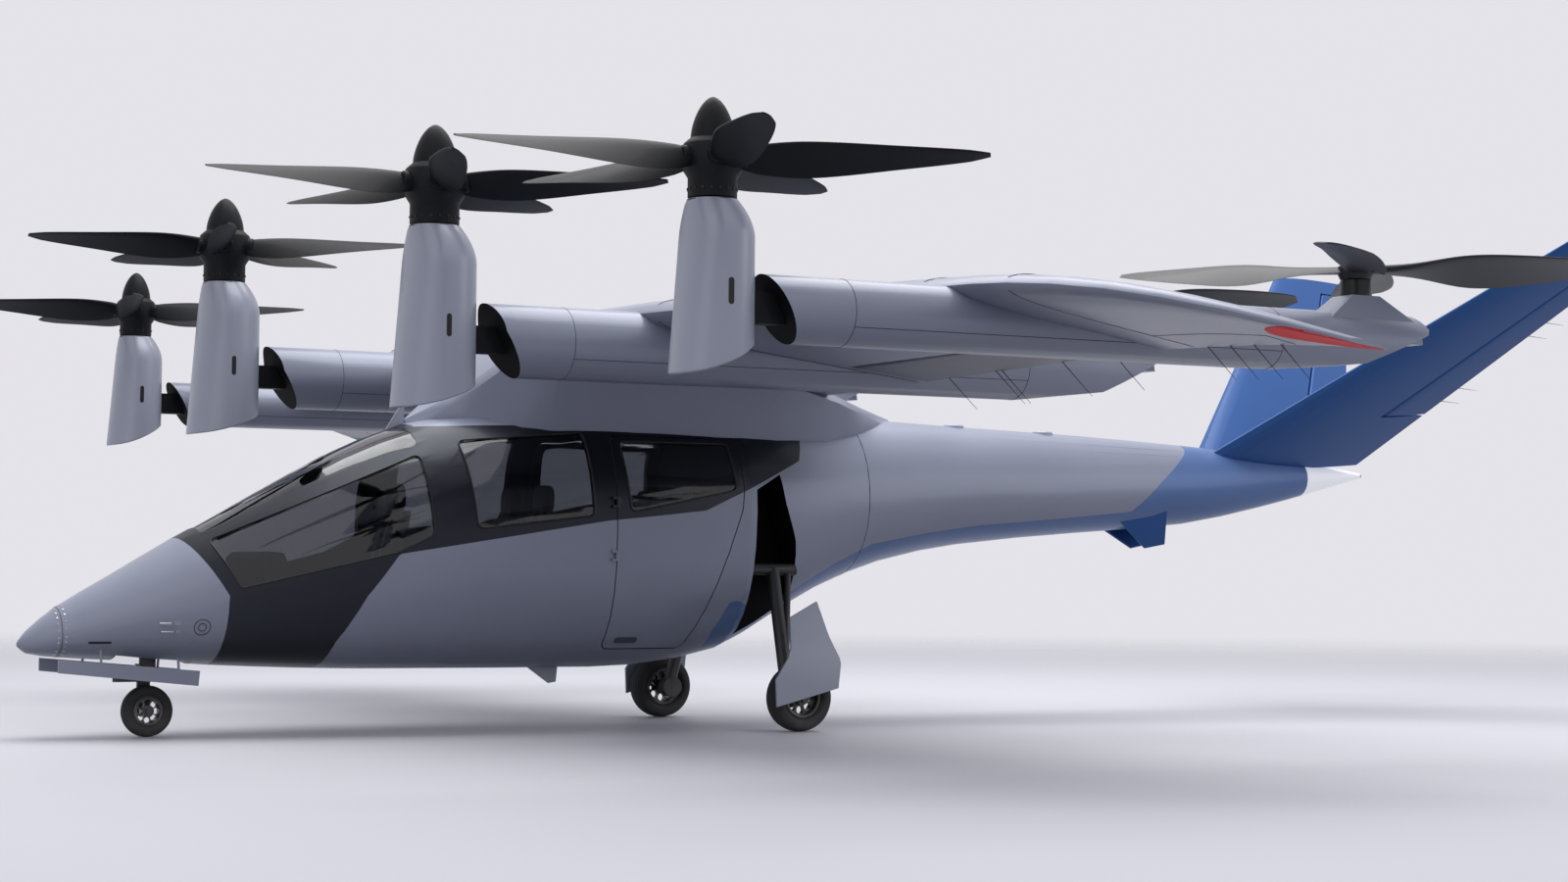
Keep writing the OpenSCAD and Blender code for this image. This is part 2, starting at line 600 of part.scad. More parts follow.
function blade_ring(r, chord, pitch, t) =
  [for (p = foil(t / chord, 0.03, 5))
    let(y = (p[0] - 0.4) * chord, z = p[1] * chord + p[3] * (p[2] * chord + 1))
    [r, y * cos(pitch) + z * sin(pitch), z * cos(pitch) - y * sin(pitch)]];
module blades(table, radius, count) for (i = [0 : count - 1]) rotate([0, 0, 360 * i / count])
  loft([for (row = table) blade_ring(row[0] * radius, row[1], row[2], row[3])]);

module prop(u) {
  r = u[COLLAR_R];
  hub = u[BLADE_Z] - u[JOINT_Z];
  tip = u[SPINNER_Z] - u[JOINT_Z];
  base = 1.45 * hub;
  translate(at(u[UNIT_STATION], u[UNIT_Y], u[JOINT_Z])) {
    rotate_extrude() polygon(concat(
      [[0, 5 - 2 * shaft_r], [shaft_r, 5 - 2 * shaft_r], [shaft_r, hub_gap], [r, hub_gap], [r, 0.5 * hub],
       [1.2 * r, 0.68 * hub], [1.2 * r, 1.3 * hub]],
      [for (a = [0 : 15 : 75]) [0.88 * r * cos(a), base + (tip - base) * sin(a)]], [[0, tip]]));
    translate([0, 0, hub]) {
      for (i = [0 : prop_blades - 1])
        rotate([0, 90, 360 * i / prop_blades]) cylinder(h = 1.45 * r, r = 0.4 * r);
      blades(PROP_BLADE, prop_r, prop_blades);
    }
  }
}
module inboard_left_prop() color(dark) prop(INBOARD);
module inboard_right_prop() color(dark) mirror([0, 1, 0]) prop(INBOARD);
module outboard_left_prop() color(dark) prop(OUTBOARD);
module outboard_right_prop() color(dark) mirror([0, 1, 0]) prop(OUTBOARD);

module rotor(u) translate([0, 0, post_h]) at_rotor(u) {
  rotate_extrude() polygon([[0, 30 - post_h], [shaft_r, 30 - post_h], [shaft_r, hub_gap], [post_r, hub_gap],
                            [1.15 * post_r, 40], [1.15 * post_r, 90], [0.8 * post_r, 118], [0, 124]]);
  translate([0, 0, 62]) rotate([0, 0, 45]) blades(ROTOR_BLADE, rotor_r, rotor_blades);
}
module inboard_left_rotor() color(trim) rotor(INBOARD);
module inboard_right_rotor() color(trim) mirror([0, 1, 0]) rotor(INBOARD);
module outboard_left_rotor() color(trim) rotor(OUTBOARD);
module outboard_right_rotor() color(trim) mirror([0, 1, 0]) rotor(OUTBOARD);

// V tail, drawn flat with its span along Y and then raised

fin_foot = [60, 2165];
fin_rise = [fin_tip_y, fin_tip_z] - fin_foot;
fin_span = norm(fin_rise);
fin_angle = atan2(fin_rise[1], fin_rise[0]);
fin_t = 0.10;
function fin_lead(u) = mix(fin_root[0], fin_tip_station, u);
function fin_chord(u) = mix(fin_root[1], overall_length, u) - fin_lead(u);
function rudder_r(u) = foil_half(rudder_share, fin_t) * fin_chord(u) + edge_t / 2;
function rudder_hinge(u) = at(fin_lead(u) + rudder_share * fin_chord(u), u * fin_span, 0);
rudder_axis = let(d = rudder_hinge(rudder_span[1]) - rudder_hinge(rudder_span[0])) d / norm(d);
// The hinge line is swept, so the ends of a turned ruddervator move along the span
rudder_end_gap = 2.5 * panel_gap;
module raise_fin() translate([0, fin_foot[0], fin_foot[1]]) rotate([fin_angle, 0, 0]) children();
module rudder_pins(r) {
  a = rudder_hinge(rudder_span[0]);
  b = rudder_hinge(rudder_span[1]);
  rod(a - pin_out * rudder_axis, a + pin_in * rudder_axis, r);
  rod(b - pin_in * rudder_axis, b + pin_out * rudder_axis, r);
}
module fin() difference() {
  raise_fin() difference() {
    loft([for (u = [0, 0.5, 1]) [for (p = foil(fin_t, 0, 9))
      at(fin_lead(u) + p[0] * fin_chord(u), u * fin_span, p[3] * (p[2] * fin_chord(u) + edge_t / 2))]]);
    cut = [for (i = [0, 1]) let(u = rudder_span[i] + (2 * i - 1) * rudder_end_gap / fin_span)
      [rudder_hinge(u)[0] + rudder_r(u) + 1.5 * panel_gap, u * fin_span]];
    translate([0, 0, -300]) linear_extrude(600)
      polygon([cut[0], cut[1], [X(overall_length + 200), cut[1][1]], [X(overall_length + 200), cut[0][1]]]);
    rudder_pins(surface_pin_r / 2 + pin_clearance);
  }
  translate([-overall_length, -500, 0]) cube([2 * overall_length, 500, 5000]);
}
module fins() color(blue) difference() {
  both_sides() fin();
  fuselage(aft(9900), tail_end, -seam);
}
module ruddervator() raise_fin() {
  loft([for (u = rudder_span) let(h = rudder_hinge(u))
    [for (p = hinged_foil(rudder_share, fin_chord(u), fin_t, 0, 4)) [h[0] - p[0], h[1], p[1]]]]);
  rudder_pins(surface_pin_r / 2);
}
module left_ruddervator() color(blue) ruddervator();
module right_ruddervator() color(blue) mirror([0, 1, 0]) ruddervator();

VENTRAL_FIN = [[aft(8980), 1720], [aft(9560), 1760], [aft(9640), 1420], [aft(9440), 1380]];
ventral_root = [200, 1640];
ventral_splay = 25;
module ventral_fins() color(blue) difference() {
  both_sides() translate([0, ventral_root[0], ventral_root[1]]) rotate([-ventral_splay, 0, 0])
    translate([0, 0, -ventral_root[1]]) side_prism(VENTRAL_FIN, -10, 10);
  fuselage(aft(7600), tail_end, -seam);
}
module antennas() color(pale) {
  difference() {
    side_prism([[3660, 560], [4060, 560], [4040, 345], [3980, 335]], -9, 9);
    fuselage(2500, 5280, -seam);
  }
  difference() {
    side_prism([[2560, 2050], [2900, 2050], [2840, 2400], [2780, 2400]], -8, 8);
    fuselage(1960, 4000, -seam);
    fairing_room();
  }
}
module fairing_room() block([FAIRING[0][0] - 5, cabin_end], [-wall, wall], [fairing_foot, 2 * fairing_foot]);

// Landing gear

module tyre(size, rim_r) {
  r = size[0] / 2;
  half = size[1] / 2;
  crown = r - rim_r;
  bead = 0.72;
  rotate([90, 0, 0]) rotate_extrude($fn = 64) polygon(concat([[rim_r, bead * half], [rim_r, -bead * half]],
    [for (a = [-90 : 15 : 90])
      [r - bead * crown * (1 - signed_power(cos(a), 0.6)), half * signed_power(sin(a), 0.8)]]));
}
module rim(size, rim_r, axle) {
  half = 0.36 * size[1];
  rotate([90, 0, 0]) difference() {
    rotate_extrude($fn = 64) polygon([
      [axle + pin_clearance, -half], [axle + 22, -half], [axle + 26, -half / 3],
      [rim_r - 26, -half / 3], [rim_r - 22, -half], [rim_r - seam, -half], [rim_r - seam, half],
      [rim_r - 22, half],
      [rim_r - 26, half / 3], [axle + 26, half / 3], [axle + 22, half], [axle + pin_clearance, half]]);
    for (i = [0 : 7]) rotate([0, 0, 45 * i]) translate([(axle + rim_r) / 2, 0, -size[1]])
      cylinder(h = 2 * size[1], r = 0.2 * rim_r);
  }
}
main_rim_r = 150;
nose_rim_r = 105;
module at_main() translate(at(main_wheel_station, main_wheel_y, main_tyre[0] / 2)) children();
module at_nose() translate(at(nose_wheel_station, 0, nose_tyre[0] / 2)) children();
module left_main_tire() color(dark) at_main() tyre(main_tyre, main_rim_r);
module left_main_rim() color(trim) at_main() rim(main_tyre, main_rim_r, main_axle_r);
module right_main_tire() color(dark) mirror([0, 1, 0]) at_main() tyre(main_tyre, main_rim_r);
module right_main_rim() color(trim) mirror([0, 1, 0]) at_main() rim(main_tyre, main_rim_r, main_axle_r);
module nose_tire() color(dark) at_nose() tyre(nose_tyre, nose_rim_r);
module nose_rim() color(trim) at_nose() rim(nose_tyre, nose_rim_r, nose_axle_r);

leg_top = [5560, 620, 1200];
knuckle_y = main_wheel_y - 120;
fairing_y = main_wheel_y + main_tyre[1] / 2 + 17;
module main_gear_legs() color(dark) both_sides() {
  axle_z = main_tyre[0] / 2;
  intersection() {
    rod(at(5200, leg_top[1], leg_top[2]), at(5900, leg_top[1], leg_top[2]), 45);
    rounded_prism(MAIN_BAY, 1, bay_wall_y, 1500, seam);
  }
  rod(at(leg_top[0], leg_top[1], leg_top[2]), at(main_wheel_station, knuckle_y - 60, axle_z + 60), 50);
  rod(at(5690, leg_top[1], leg_top[2] - 10), at(main_wheel_station + 25, knuckle_y - 120, axle_z + 280), 26);
  cross_rod(main_wheel_station, axle_z, knuckle_y - 110, knuckle_y, 80);
  cross_rod(main_wheel_station, axle_z, knuckle_y - 20, fairing_y - seam, main_axle_r);
}
module leg_fairings() color(paint) both_sides() intersection() {
  side_prism(LEG_FAIRING, 800, 1500);
  cross_prism([[fairing_y - 260, 985], [fairing_y, 540], [fairing_y, 100], [fairing_y + 18, 100],
               [fairing_y + 18, 545], [fairing_y - 242, 990]], 5100, 5900);
}

leg_foot = 440;
spindle_r = 35;
fork_top = 620;
crown_z = [nose_tyre[0] + 25, leg_foot - 12];
fork_y = [-nose_tyre[1] / 2 - 52, -nose_tyre[1] / 2 - 22];
lug_r = 30;
module nose_gear_leg() color(dark) difference() {
  union() {
    translate(at(nose_wheel_station, 0, leg_foot)) cylinder(h = nose_bay_top - seam - leg_foot, r = 58);
    intersection() {
      rod(at(nose_wheel_station + 40, 0, 600), at(nose_wheel_station + 260, 0, 900), 22);
      block(nose_bay, [-nose_bay_half, nose_bay_half], [0, nose_bay_top - seam]);
    }
  }
  translate(at(nose_wheel_station, 0, 0)) cylinder(h = fork_top + 10, r = spindle_r + pin_clearance);
}
module nose_fork() color(dark) difference() {
  translate(at(nose_wheel_station, 0, 0)) {
    translate([0, 0, crown_z[0]]) cylinder(h = fork_top - crown_z[0], r = spindle_r);
    translate([0, 0, crown_z[0]]) cylinder(h = crown_z[1] - crown_z[0], r = 62);
    translate([-45, fork_y[0], crown_z[0]]) cube([90, -fork_y[0], crown_z[1] - crown_z[0]]);
    translate([-45, fork_y[0], nose_tyre[0] / 2])
      cube([90, fork_y[1] - fork_y[0], crown_z[1] - nose_tyre[0] / 2]);
    translate([0, -lug_r, crown_z[0]]) cube([lug_x, 2 * lug_r, crown_z[1] - crown_z[0]]);
    translate([lug_x, 0, crown_z[0]]) cylinder(h = crown_z[1] - crown_z[0], r = lug_r);
    translate([0, fork_y[1], nose_tyre[0] / 2]) rotate([90, 0, 0])
      cylinder(h = fork_y[1] - fork_y[0], r = 45);
    translate([0, nose_tyre[1] / 2, nose_tyre[0] / 2]) rotate([90, 0, 0])
      cylinder(h = nose_tyre[1] / 2 - fork_y[0], r = nose_axle_r);
  }
  translate(at(nose_wheel_station - lug_x, 0, 0)) cylinder(h = leg_foot, r = tow_bore_r);
}
nose_door_y = 250;
module nose_gear_doors() color(pale) both_sides() difference() {
  union() {
    side_prism(NOSE_DOOR, nose_door_y - 7, nose_door_y + 7);
    for (s = [520, 1060]) rod(at(s, nose_door_y, 470), at(s, nose_door_y - 60, 700), 9);
  }
  fuselage(0, cabin_start, -seam);
}

radome();
nose_shell();
cabin_shell();
windscreen();
cockpit_glass();
cabin_glass();
cabin_floor();
instrument_panel();
pilot_seat();
passenger_seats();
door_hinges();
left_door();
right_door();
left_door_glass();
right_door_glass();
tail_boom();
battery_pack();
wing_fairing();
wing();
left_flap();
right_flap();
inboard_booms();
outboard_booms();
tilt_arms();
rotor_posts();
inboard_left_nacelle();
inboard_right_nacelle();
outboard_left_nacelle();
outboard_right_nacelle();
inboard_left_prop();
inboard_right_prop();
outboard_left_prop();
outboard_right_prop();
inboard_left_rotor();
inboard_right_rotor();
outboard_left_rotor();
outboard_right_rotor();
fins();
left_ruddervator();
right_ruddervator();
ventral_fins();
antennas();
nose_gear_leg();
nose_fork();
nose_rim();
nose_tire();
nose_gear_doors();
main_gear_legs();
leg_fairings();
left_main_rim();
left_main_tire();
right_main_rim();
right_main_tire();
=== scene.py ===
"""Looks of an electric air taxi: skins, livery, glazing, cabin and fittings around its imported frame."""

from __future__ import annotations

import json
import logging
import math
from dataclasses import dataclass
from enum import Enum
from typing import Any, Callable, Iterable, Sequence

import bmesh
import bpy
from mathutils import Matrix, Vector
from mathutils.bvhtree import BVHTree

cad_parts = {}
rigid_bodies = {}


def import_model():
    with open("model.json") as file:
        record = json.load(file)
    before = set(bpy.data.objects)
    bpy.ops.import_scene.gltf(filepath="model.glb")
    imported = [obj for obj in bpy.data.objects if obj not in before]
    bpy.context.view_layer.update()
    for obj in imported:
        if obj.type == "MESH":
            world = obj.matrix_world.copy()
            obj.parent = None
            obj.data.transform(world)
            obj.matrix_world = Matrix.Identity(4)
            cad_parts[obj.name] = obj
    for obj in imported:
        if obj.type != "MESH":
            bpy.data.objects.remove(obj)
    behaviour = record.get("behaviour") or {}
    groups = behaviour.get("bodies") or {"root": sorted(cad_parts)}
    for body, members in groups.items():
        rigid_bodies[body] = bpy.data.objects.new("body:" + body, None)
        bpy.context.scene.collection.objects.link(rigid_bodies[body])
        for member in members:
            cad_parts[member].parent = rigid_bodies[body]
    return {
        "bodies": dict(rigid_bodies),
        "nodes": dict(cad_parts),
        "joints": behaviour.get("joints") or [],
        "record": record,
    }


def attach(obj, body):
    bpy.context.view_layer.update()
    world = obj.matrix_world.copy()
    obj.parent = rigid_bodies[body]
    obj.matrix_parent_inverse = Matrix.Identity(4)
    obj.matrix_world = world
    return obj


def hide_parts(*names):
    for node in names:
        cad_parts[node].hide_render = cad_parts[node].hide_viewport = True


LOG = logging.getLogger("air_taxi")
MM = 0.001
LENGTH = 13400.0
SEAM_R = 0.0022
SIDES = (1, -1)
SIDE_NAMES = {1: "left", -1: "right"}
FORWARD, ACROSS, UPWARD = (Vector(row) for row in ((1.0, 0.0, 0.0), (0.0, 1.0, 0.0), (0.0, 0.0, 1.0)))
Point = tuple[float, float, float]
Flat = tuple[float, float]
Mesh = tuple[list[Vector], list[list[int]]]
FaceTest = Callable[[Vector, Vector], bool]


def at(station: float, y: float, z: float) -> Vector:
    """A point in metres from its station behind the nose tip, its side and its height in millimetres."""
    return Vector(((LENGTH / 2 - station) * MM, y * MM, z * MM))


def station_of(place: Vector) -> float:
    """The distance of a point behind the nose tip in millimetres."""
    return LENGTH / 2 - place.x / MM


def turns(count: int, closed: bool = False) -> list[float]:
    """Even angles round a circle in radians, with the start again at the end of a closed one."""
    return [math.tau * i / count for i in range(count + int(closed))]


def bridged(rows: int, count: int, first: int = 0, joined: bool = False) -> list[list[int]]:
    """Faces between rings of points that follow one another.

    Args:
        rows: number of bands between the rings.
        count: points in a ring.
        first: number of the first ring's first point.
        joined: whether the last band returns to the first ring.

    Returns:
        The corner numbers of each face.
    """
    total = rows if joined else rows + 1
    faces: list[list[int]] = []
    for k in range(rows):
        here, there = first + k * count, first + (k + 1) % total * count
        faces += [[here + i, here + (i + 1) % count, there + (i + 1) % count, there + i]
                  for i in range(count)]
    return faces


class Texture(Enum):
    """The fine surface of a finish."""

    GRAIN = "grain"
    TWILL = "twill"
    CLOTH = "cloth"
    BRUSHED = "brushed"


class Graph:
    """Adds nodes to one node tree and joins their sockets."""

    def __init__(self, tree: bpy.types.NodeTree) -> None:
        """Keeps the tree."""
        self.tree = tree

    def add(self, kind: str, feeds: dict[Any, Any] | None = None, **settings: Any) -> bpy.types.Node:
        """Adds a node.

        Args:
            kind: Blender's name of the node.
            feeds: a value or an output socket for each named or numbered input.
            settings: the node's own properties.

        Returns:
            The new node.
        """
        node = self.tree.nodes.new(kind)
        for key, value in settings.items():
            setattr(node, key, value)
        for key, value in (feeds or {}).items():
            self.feed(node.inputs[key], value)
        return node

    def feed(self, socket: bpy.types.NodeSocket, value: Any) -> None:
        """Links an output to a socket, or sets the socket's value.

        Args:
            socket: the input.
            value: an output socket or a plain value.
        """
        if isinstance(value, bpy.types.NodeSocket):
            self.tree.links.new(value, socket)
        else:
            socket.default_value = value

    def math(self, operation: str, *values: Any) -> bpy.types.NodeSocket:
        """The result of a Math node."""
        return self.add("ShaderNodeMath", dict(enumerate(values)), operation=operation).outputs[0]

    def mix(self, share: Any, under: Any, over: Any) -> bpy.types.NodeSocket:
        """The mix of two colours."""
        node = self.add("ShaderNodeMix", {0: share, 6: under, 7: over}, data_type="RGBA")
        return node.outputs[2]


class ShaderGroups:
    """Builds the shader groups that several finishes use, each once."""

    FLOAT, COLOR = "NodeSocketFloat", "NodeSocketColor"

    def __init__(self) -> None:
        """Starts with no group built."""
        self.built: dict[str, bpy.types.NodeTree] = {}

    def group(self, name: str, ins: dict[str, str], outs: dict[str, str],
              fill: Callable[[Graph, Any], dict[str, Any]]) -> bpy.types.NodeTree:
        """Gives a group, building it on first use.

        Args:
            name: the group's name.
            ins: socket type of each named input.
            outs: socket type of each named output.
            fill: adds the inner nodes and returns the socket for each output.

        Returns:
            The node tree of the group.
        """
        if name not in self.built:
            tree = bpy.data.node_groups.new(name, "ShaderNodeTree")
            for label, kind in ins.items():
                tree.interface.new_socket(label, in_out="INPUT", socket_type=kind)
            for label, kind in outs.items():
                tree.interface.new_socket(label, in_out="OUTPUT", socket_type=kind)
            graph = Graph(tree)
            entry = graph.add("NodeGroupInput").outputs
            exits = graph.add("NodeGroupOutput").inputs
            for label, socket in fill(graph, entry).items():
                graph.feed(exits[label], socket)
            self.built[name] = tree
        return self.built[name]

    def uneven_tone(self) -> bpy.types.NodeTree:
        """Colour and roughness that vary softly over a surface.

        Returns:
            The group, with outputs Color and Roughness.
        """

        def fill(graph: Graph, entry: Any) -> dict[str, Any]:
            """One noise drives both the tone and the gloss.

            Args:
                graph: the tree's nodes.
                entry: the tree's inputs.

            Returns:
                The socket of each output.
            """
            coords = graph.add("ShaderNodeTexCoord").outputs["Object"]
            noise = graph.add("ShaderNodeTexNoise",
                              {"Vector": coords, "Scale": entry["Scale"], "Detail": 5.0})
            tone = graph.math("SUBTRACT", noise.outputs[0], 0.5)
            factor = graph.math("MULTIPLY_ADD", tone, entry["Depth"], 1.0)
            color = graph.add("ShaderNodeVectorMath", {0: entry["Color"], "Scale": factor}, operation="SCALE")
            rough = graph.math("MULTIPLY_ADD", tone, entry["Spread"], entry["Roughness"])
            return {"Color": color.outputs[0], "Roughness": rough}

        ins = {"Color": self.COLOR, "Scale": self.FLOAT, "Depth": self.FLOAT, "Roughness": self.FLOAT,
               "Spread": self.FLOAT}
        return self.group("uneven_tone", ins, {"Color": self.COLOR, "Roughness": self.FLOAT}, fill)

    def low_dust(self) -> bpy.types.NodeTree:
        """A mask of dust that thins out with height.

        Returns:
            The group, with one output Mask.
        """

        def fill(graph: Graph, entry: Any) -> dict[str, Any]:
            """Height fade times noise.

            Args:
                graph: the tree's nodes.
                entry: the tree's inputs.

            Returns:
                The socket of each output.
            """
            coords = graph.add("ShaderNodeTexCoord").outputs["Object"]
            height = graph.add("ShaderNodeSeparateXYZ", {0: coords}).outputs[2]
            fade = graph.add("ShaderNodeMapRange",
                             {"Value": height, "From Min": entry["Top"], "From Max": 0.0})
            noise = graph.add("ShaderNodeTexNoise", {"Vector": coords, "Scale": 9.0, "Detail": 6.0})
            patchy = graph.math("MULTIPLY", fade.outputs[0], noise.outputs[0])
            return {"Mask": graph.math("MULTIPLY", patchy, entry["Amount"])}

        return self.group("low_dust", {"Top": self.FLOAT, "Amount": self.FLOAT}, {"Mask": self.FLOAT}, fill)

    def relief(self, texture: Texture) -> bpy.types.NodeTree:
        """Fine height of grain, twill, cloth or brushed metal.

        Args:
            texture: which of them.

        Returns:
            The group, with one output Height.
        """

        def fill(graph: Graph, entry: Any) -> dict[str, Any]:
            """Noise for grain, crossed waves for woven surfaces.

            Args:
                graph: the tree's nodes.
                entry: the tree's inputs.

            Returns:
                The socket of each output.
            """
            coords = graph.add("ShaderNodeTexCoord").outputs["Object"]
            if texture in (Texture.TWILL, Texture.CLOTH):
                direction = "DIAGONAL" if texture is Texture.TWILL else "X"
                warp, weft = (graph.add("ShaderNodeTexWave", {"Vector": coords, "Scale": entry["Scale"]},
                                        bands_direction=way) for way in (direction, "Z"))
                height = graph.math("MULTIPLY", warp.outputs["Fac"], weft.outputs["Fac"])
            else:
                stretch = (1.0, 1.0, 14.0) if texture is Texture.BRUSHED else (1.0, 1.0, 1.0)
                spread = graph.add("ShaderNodeMapping", {"Vector": coords, "Scale": stretch})
                noise = graph.add("ShaderNodeTexNoise",
                                  {"Vector": spread.outputs[0], "Scale": entry["Scale"], "Detail": 3.0})
                height = noise.outputs[0]
            return {"Height": height}

        return self.group("relief_" + texture.value, {"Scale": self.FLOAT}, {"Height": self.FLOAT}, fill)

    def side_profile(self, name: str, points: Sequence[Flat]) -> bpy.types.NodeTree:
        """A mask of what lies above a line that is drawn in side view.

        Args:
            name: the line's name.
            points: station and height of the line's corners in millimetres, nose first.

        Returns:
            The group, with one output Mask.
        """

        def fill(graph: Graph, _entry: Any) -> dict[str, Any]:
            """The line's height at each station comes from a ramp.

            Args:
                graph: the tree's nodes.

            Returns:
                The socket of each output.
            """
            coords = graph.add("ShaderNodeTexCoord").outputs["Object"]
            parts = graph.add("ShaderNodeSeparateXYZ", {0: coords}).outputs
            first, last = points[0][0], points[-1][0]
            share = graph.add("ShaderNodeMapRange", {"Value": parts[0], "From Min": at(first, 0, 0).x,
                                                     "From Max": at(last, 0, 0).x})
            ramp = graph.add("ShaderNodeValToRGB", {0: share.outputs[0]})
            stops = ramp.color_ramp.elements
            top = max(z for _, z in points)
            for index, (station, z) in enumerate(points):
                place = (station - first) / (last - first)
                stop = stops[index] if index < 2 else stops.new(place)
                stop.position = place
                stop.color = (z / top, z / top, z / top, 1.0)
            line = graph.math("MULTIPLY", ramp.outputs[0], top * MM)
            return {"Mask": graph.math("GREATER_THAN", parts[2], line)}

        return self.group(name, {}, {"Mask": self.FLOAT}, fill)


GROUPS = ShaderGroups()
SILVER: Point = (0.295, 0.315, 0.395)
DUST_COLOR = (0.32, 0.30, 0.28, 1.0)
COAT_ROUGHNESS = 0.08
RELIEF_STRENGTH = 0.6


@dataclass(frozen=True)
class Finish:
    """One surface finish, as it is written for the shader."""

    name: str
    color: Point
    roughness: float
    slot: str
    metallic: float = 0.0
    coat: float = 0.0
    texture: Texture = Texture.GRAIN
    relief_scale: float = 60.0
    relief_depth: float = 0.0
    tone_scale: float = 1.6
    tone_depth: float = 0.14
    spread: float = 0.08
    dust_top: float = 0.0
    dust: float = 0.5
    transmission: float = 0.0
    glow: float = 0.0
    sheen: float = 0.0
    specular: float = 0.5
    tint: Point = (1.0, 1.0, 1.0)

    def base_color(self, graph: Graph) -> Any:
        """The colour that the tone group starts from."""
        return (*self.color, 1.0)

    def build(self) -> bpy.types.Material:
        """Makes the material.

        Returns:
            A node material of this finish.
        """
        material = bpy.data.materials.new(self.name)
        material.use_nodes = True
        graph = Graph(material.node_tree)
        shader = material.node_tree.nodes["Principled BSDF"]
        tone = graph.add("ShaderNodeGroup", {"Color": self.base_color(graph), "Scale": self.tone_scale,
                                             "Depth": self.tone_depth, "Roughness": self.roughness,
                                             "Spread": self.spread}, node_tree=GROUPS.uneven_tone())
        color = tone.outputs["Color"]
        if self.dust_top > 0.0:
            dust = graph.add("ShaderNodeGroup", {"Top": self.dust_top, "Amount": self.dust},
                             node_tree=GROUPS.low_dust())
            color = graph.mix(dust.outputs["Mask"], color, DUST_COLOR)
        graph.feed(shader.inputs["Base Color"], color)
        graph.feed(shader.inputs["Roughness"], tone.outputs["Roughness"])
        constants = {"Metallic": self.metallic, "Specular IOR Level": self.specular,
                     "Specular Tint": (*self.tint, 1.0), "Coat Weight": self.coat,
                     "Coat Roughness": COAT_ROUGHNESS, "Sheen Weight": self.sheen,
                     "Transmission Weight": self.transmission}
        if self.glow > 0.0:
            constants |= {"Emission Color": (*self.color, 1.0), "Emission Strength": self.glow}
        for label, value in constants.items():
            shader.inputs[label].default_value = value
        if self.relief_depth > 0.0:
            relief = graph.add("ShaderNodeGroup", {"Scale": self.relief_scale},
                               node_tree=GROUPS.relief(self.texture))
            bump = graph.add("ShaderNodeBump", {"Height": relief.outputs["Height"],
                                                "Strength": RELIEF_STRENGTH, "Distance": self.relief_depth})
            graph.feed(shader.inputs["Normal"], bump.outputs[0])
        return material


@dataclass(frozen=True)
class Paint(Finish):
    """Glossy paint with a very fine grain."""

    metallic: float = 0.1
    tone_depth: float = 0.10
    relief_scale: float = 900.0
    relief_depth: float = 0.0002


BAND_LOW: list[Flat] = [(1000, 10), (2045, 10), (2062, 495), (2085, 654), (2165, 807), (2260, 988),
                        (2365, 1126), (2480, 1288), (4070, 1545), (4506, 1590), (4889, 1633), (5097, 1725),
                        (5272, 1800), (5765, 2030), (5870, 2312), (5900, 2400)]
BAND_HIGH: list[Flat] = [(1000, 2600), (2755, 2600), (2775, 2216), (4000, 2252), (5870, 2316), (5900, 2320)]
BLUE_TOP: list[Flat] = [(5000, 10), (5062, 10), (5078, 720), (5120, 850), (5165, 950), (5240, 960),
                        (5500, 870), (5860, 1068), (6180, 1245), (6540, 1405), (7140, 1505), (7620, 1567),
                        (8420, 1632), (9170, 1702), (9460, 1960), (9820, 2224), (9960, 2600), (11900, 2600)]


@dataclass(frozen=True)
class Livery(Paint):
    """Body paint with the dark window band and the blue tail laid over it by position."""

    band: Point = (0.007, 0.0075, 0.012)
    tail: Point = (0.10, 0.18, 0.39)

    def base_color(self, graph: Graph) -> bpy.types.NodeSocket:
        """The painted colour at each place.

        Args:
            graph: the material's nodes.

        Returns:
            The socket of the colour.
        """
        lines = (("band_low", BAND_LOW), ("band_high", BAND_HIGH), ("blue_top", BLUE_TOP))
        low, high, blue = (graph.add("ShaderNodeGroup", node_tree=GROUPS.side_profile(*line)).outputs[0]
                           for line in lines)
        inside = graph.math("SUBTRACT", low, high)
        painted = graph.mix(blue, (*self.tail, 1.0), (*self.color, 1.0))
        return graph.mix(inside, painted, (*self.band, 1.0))


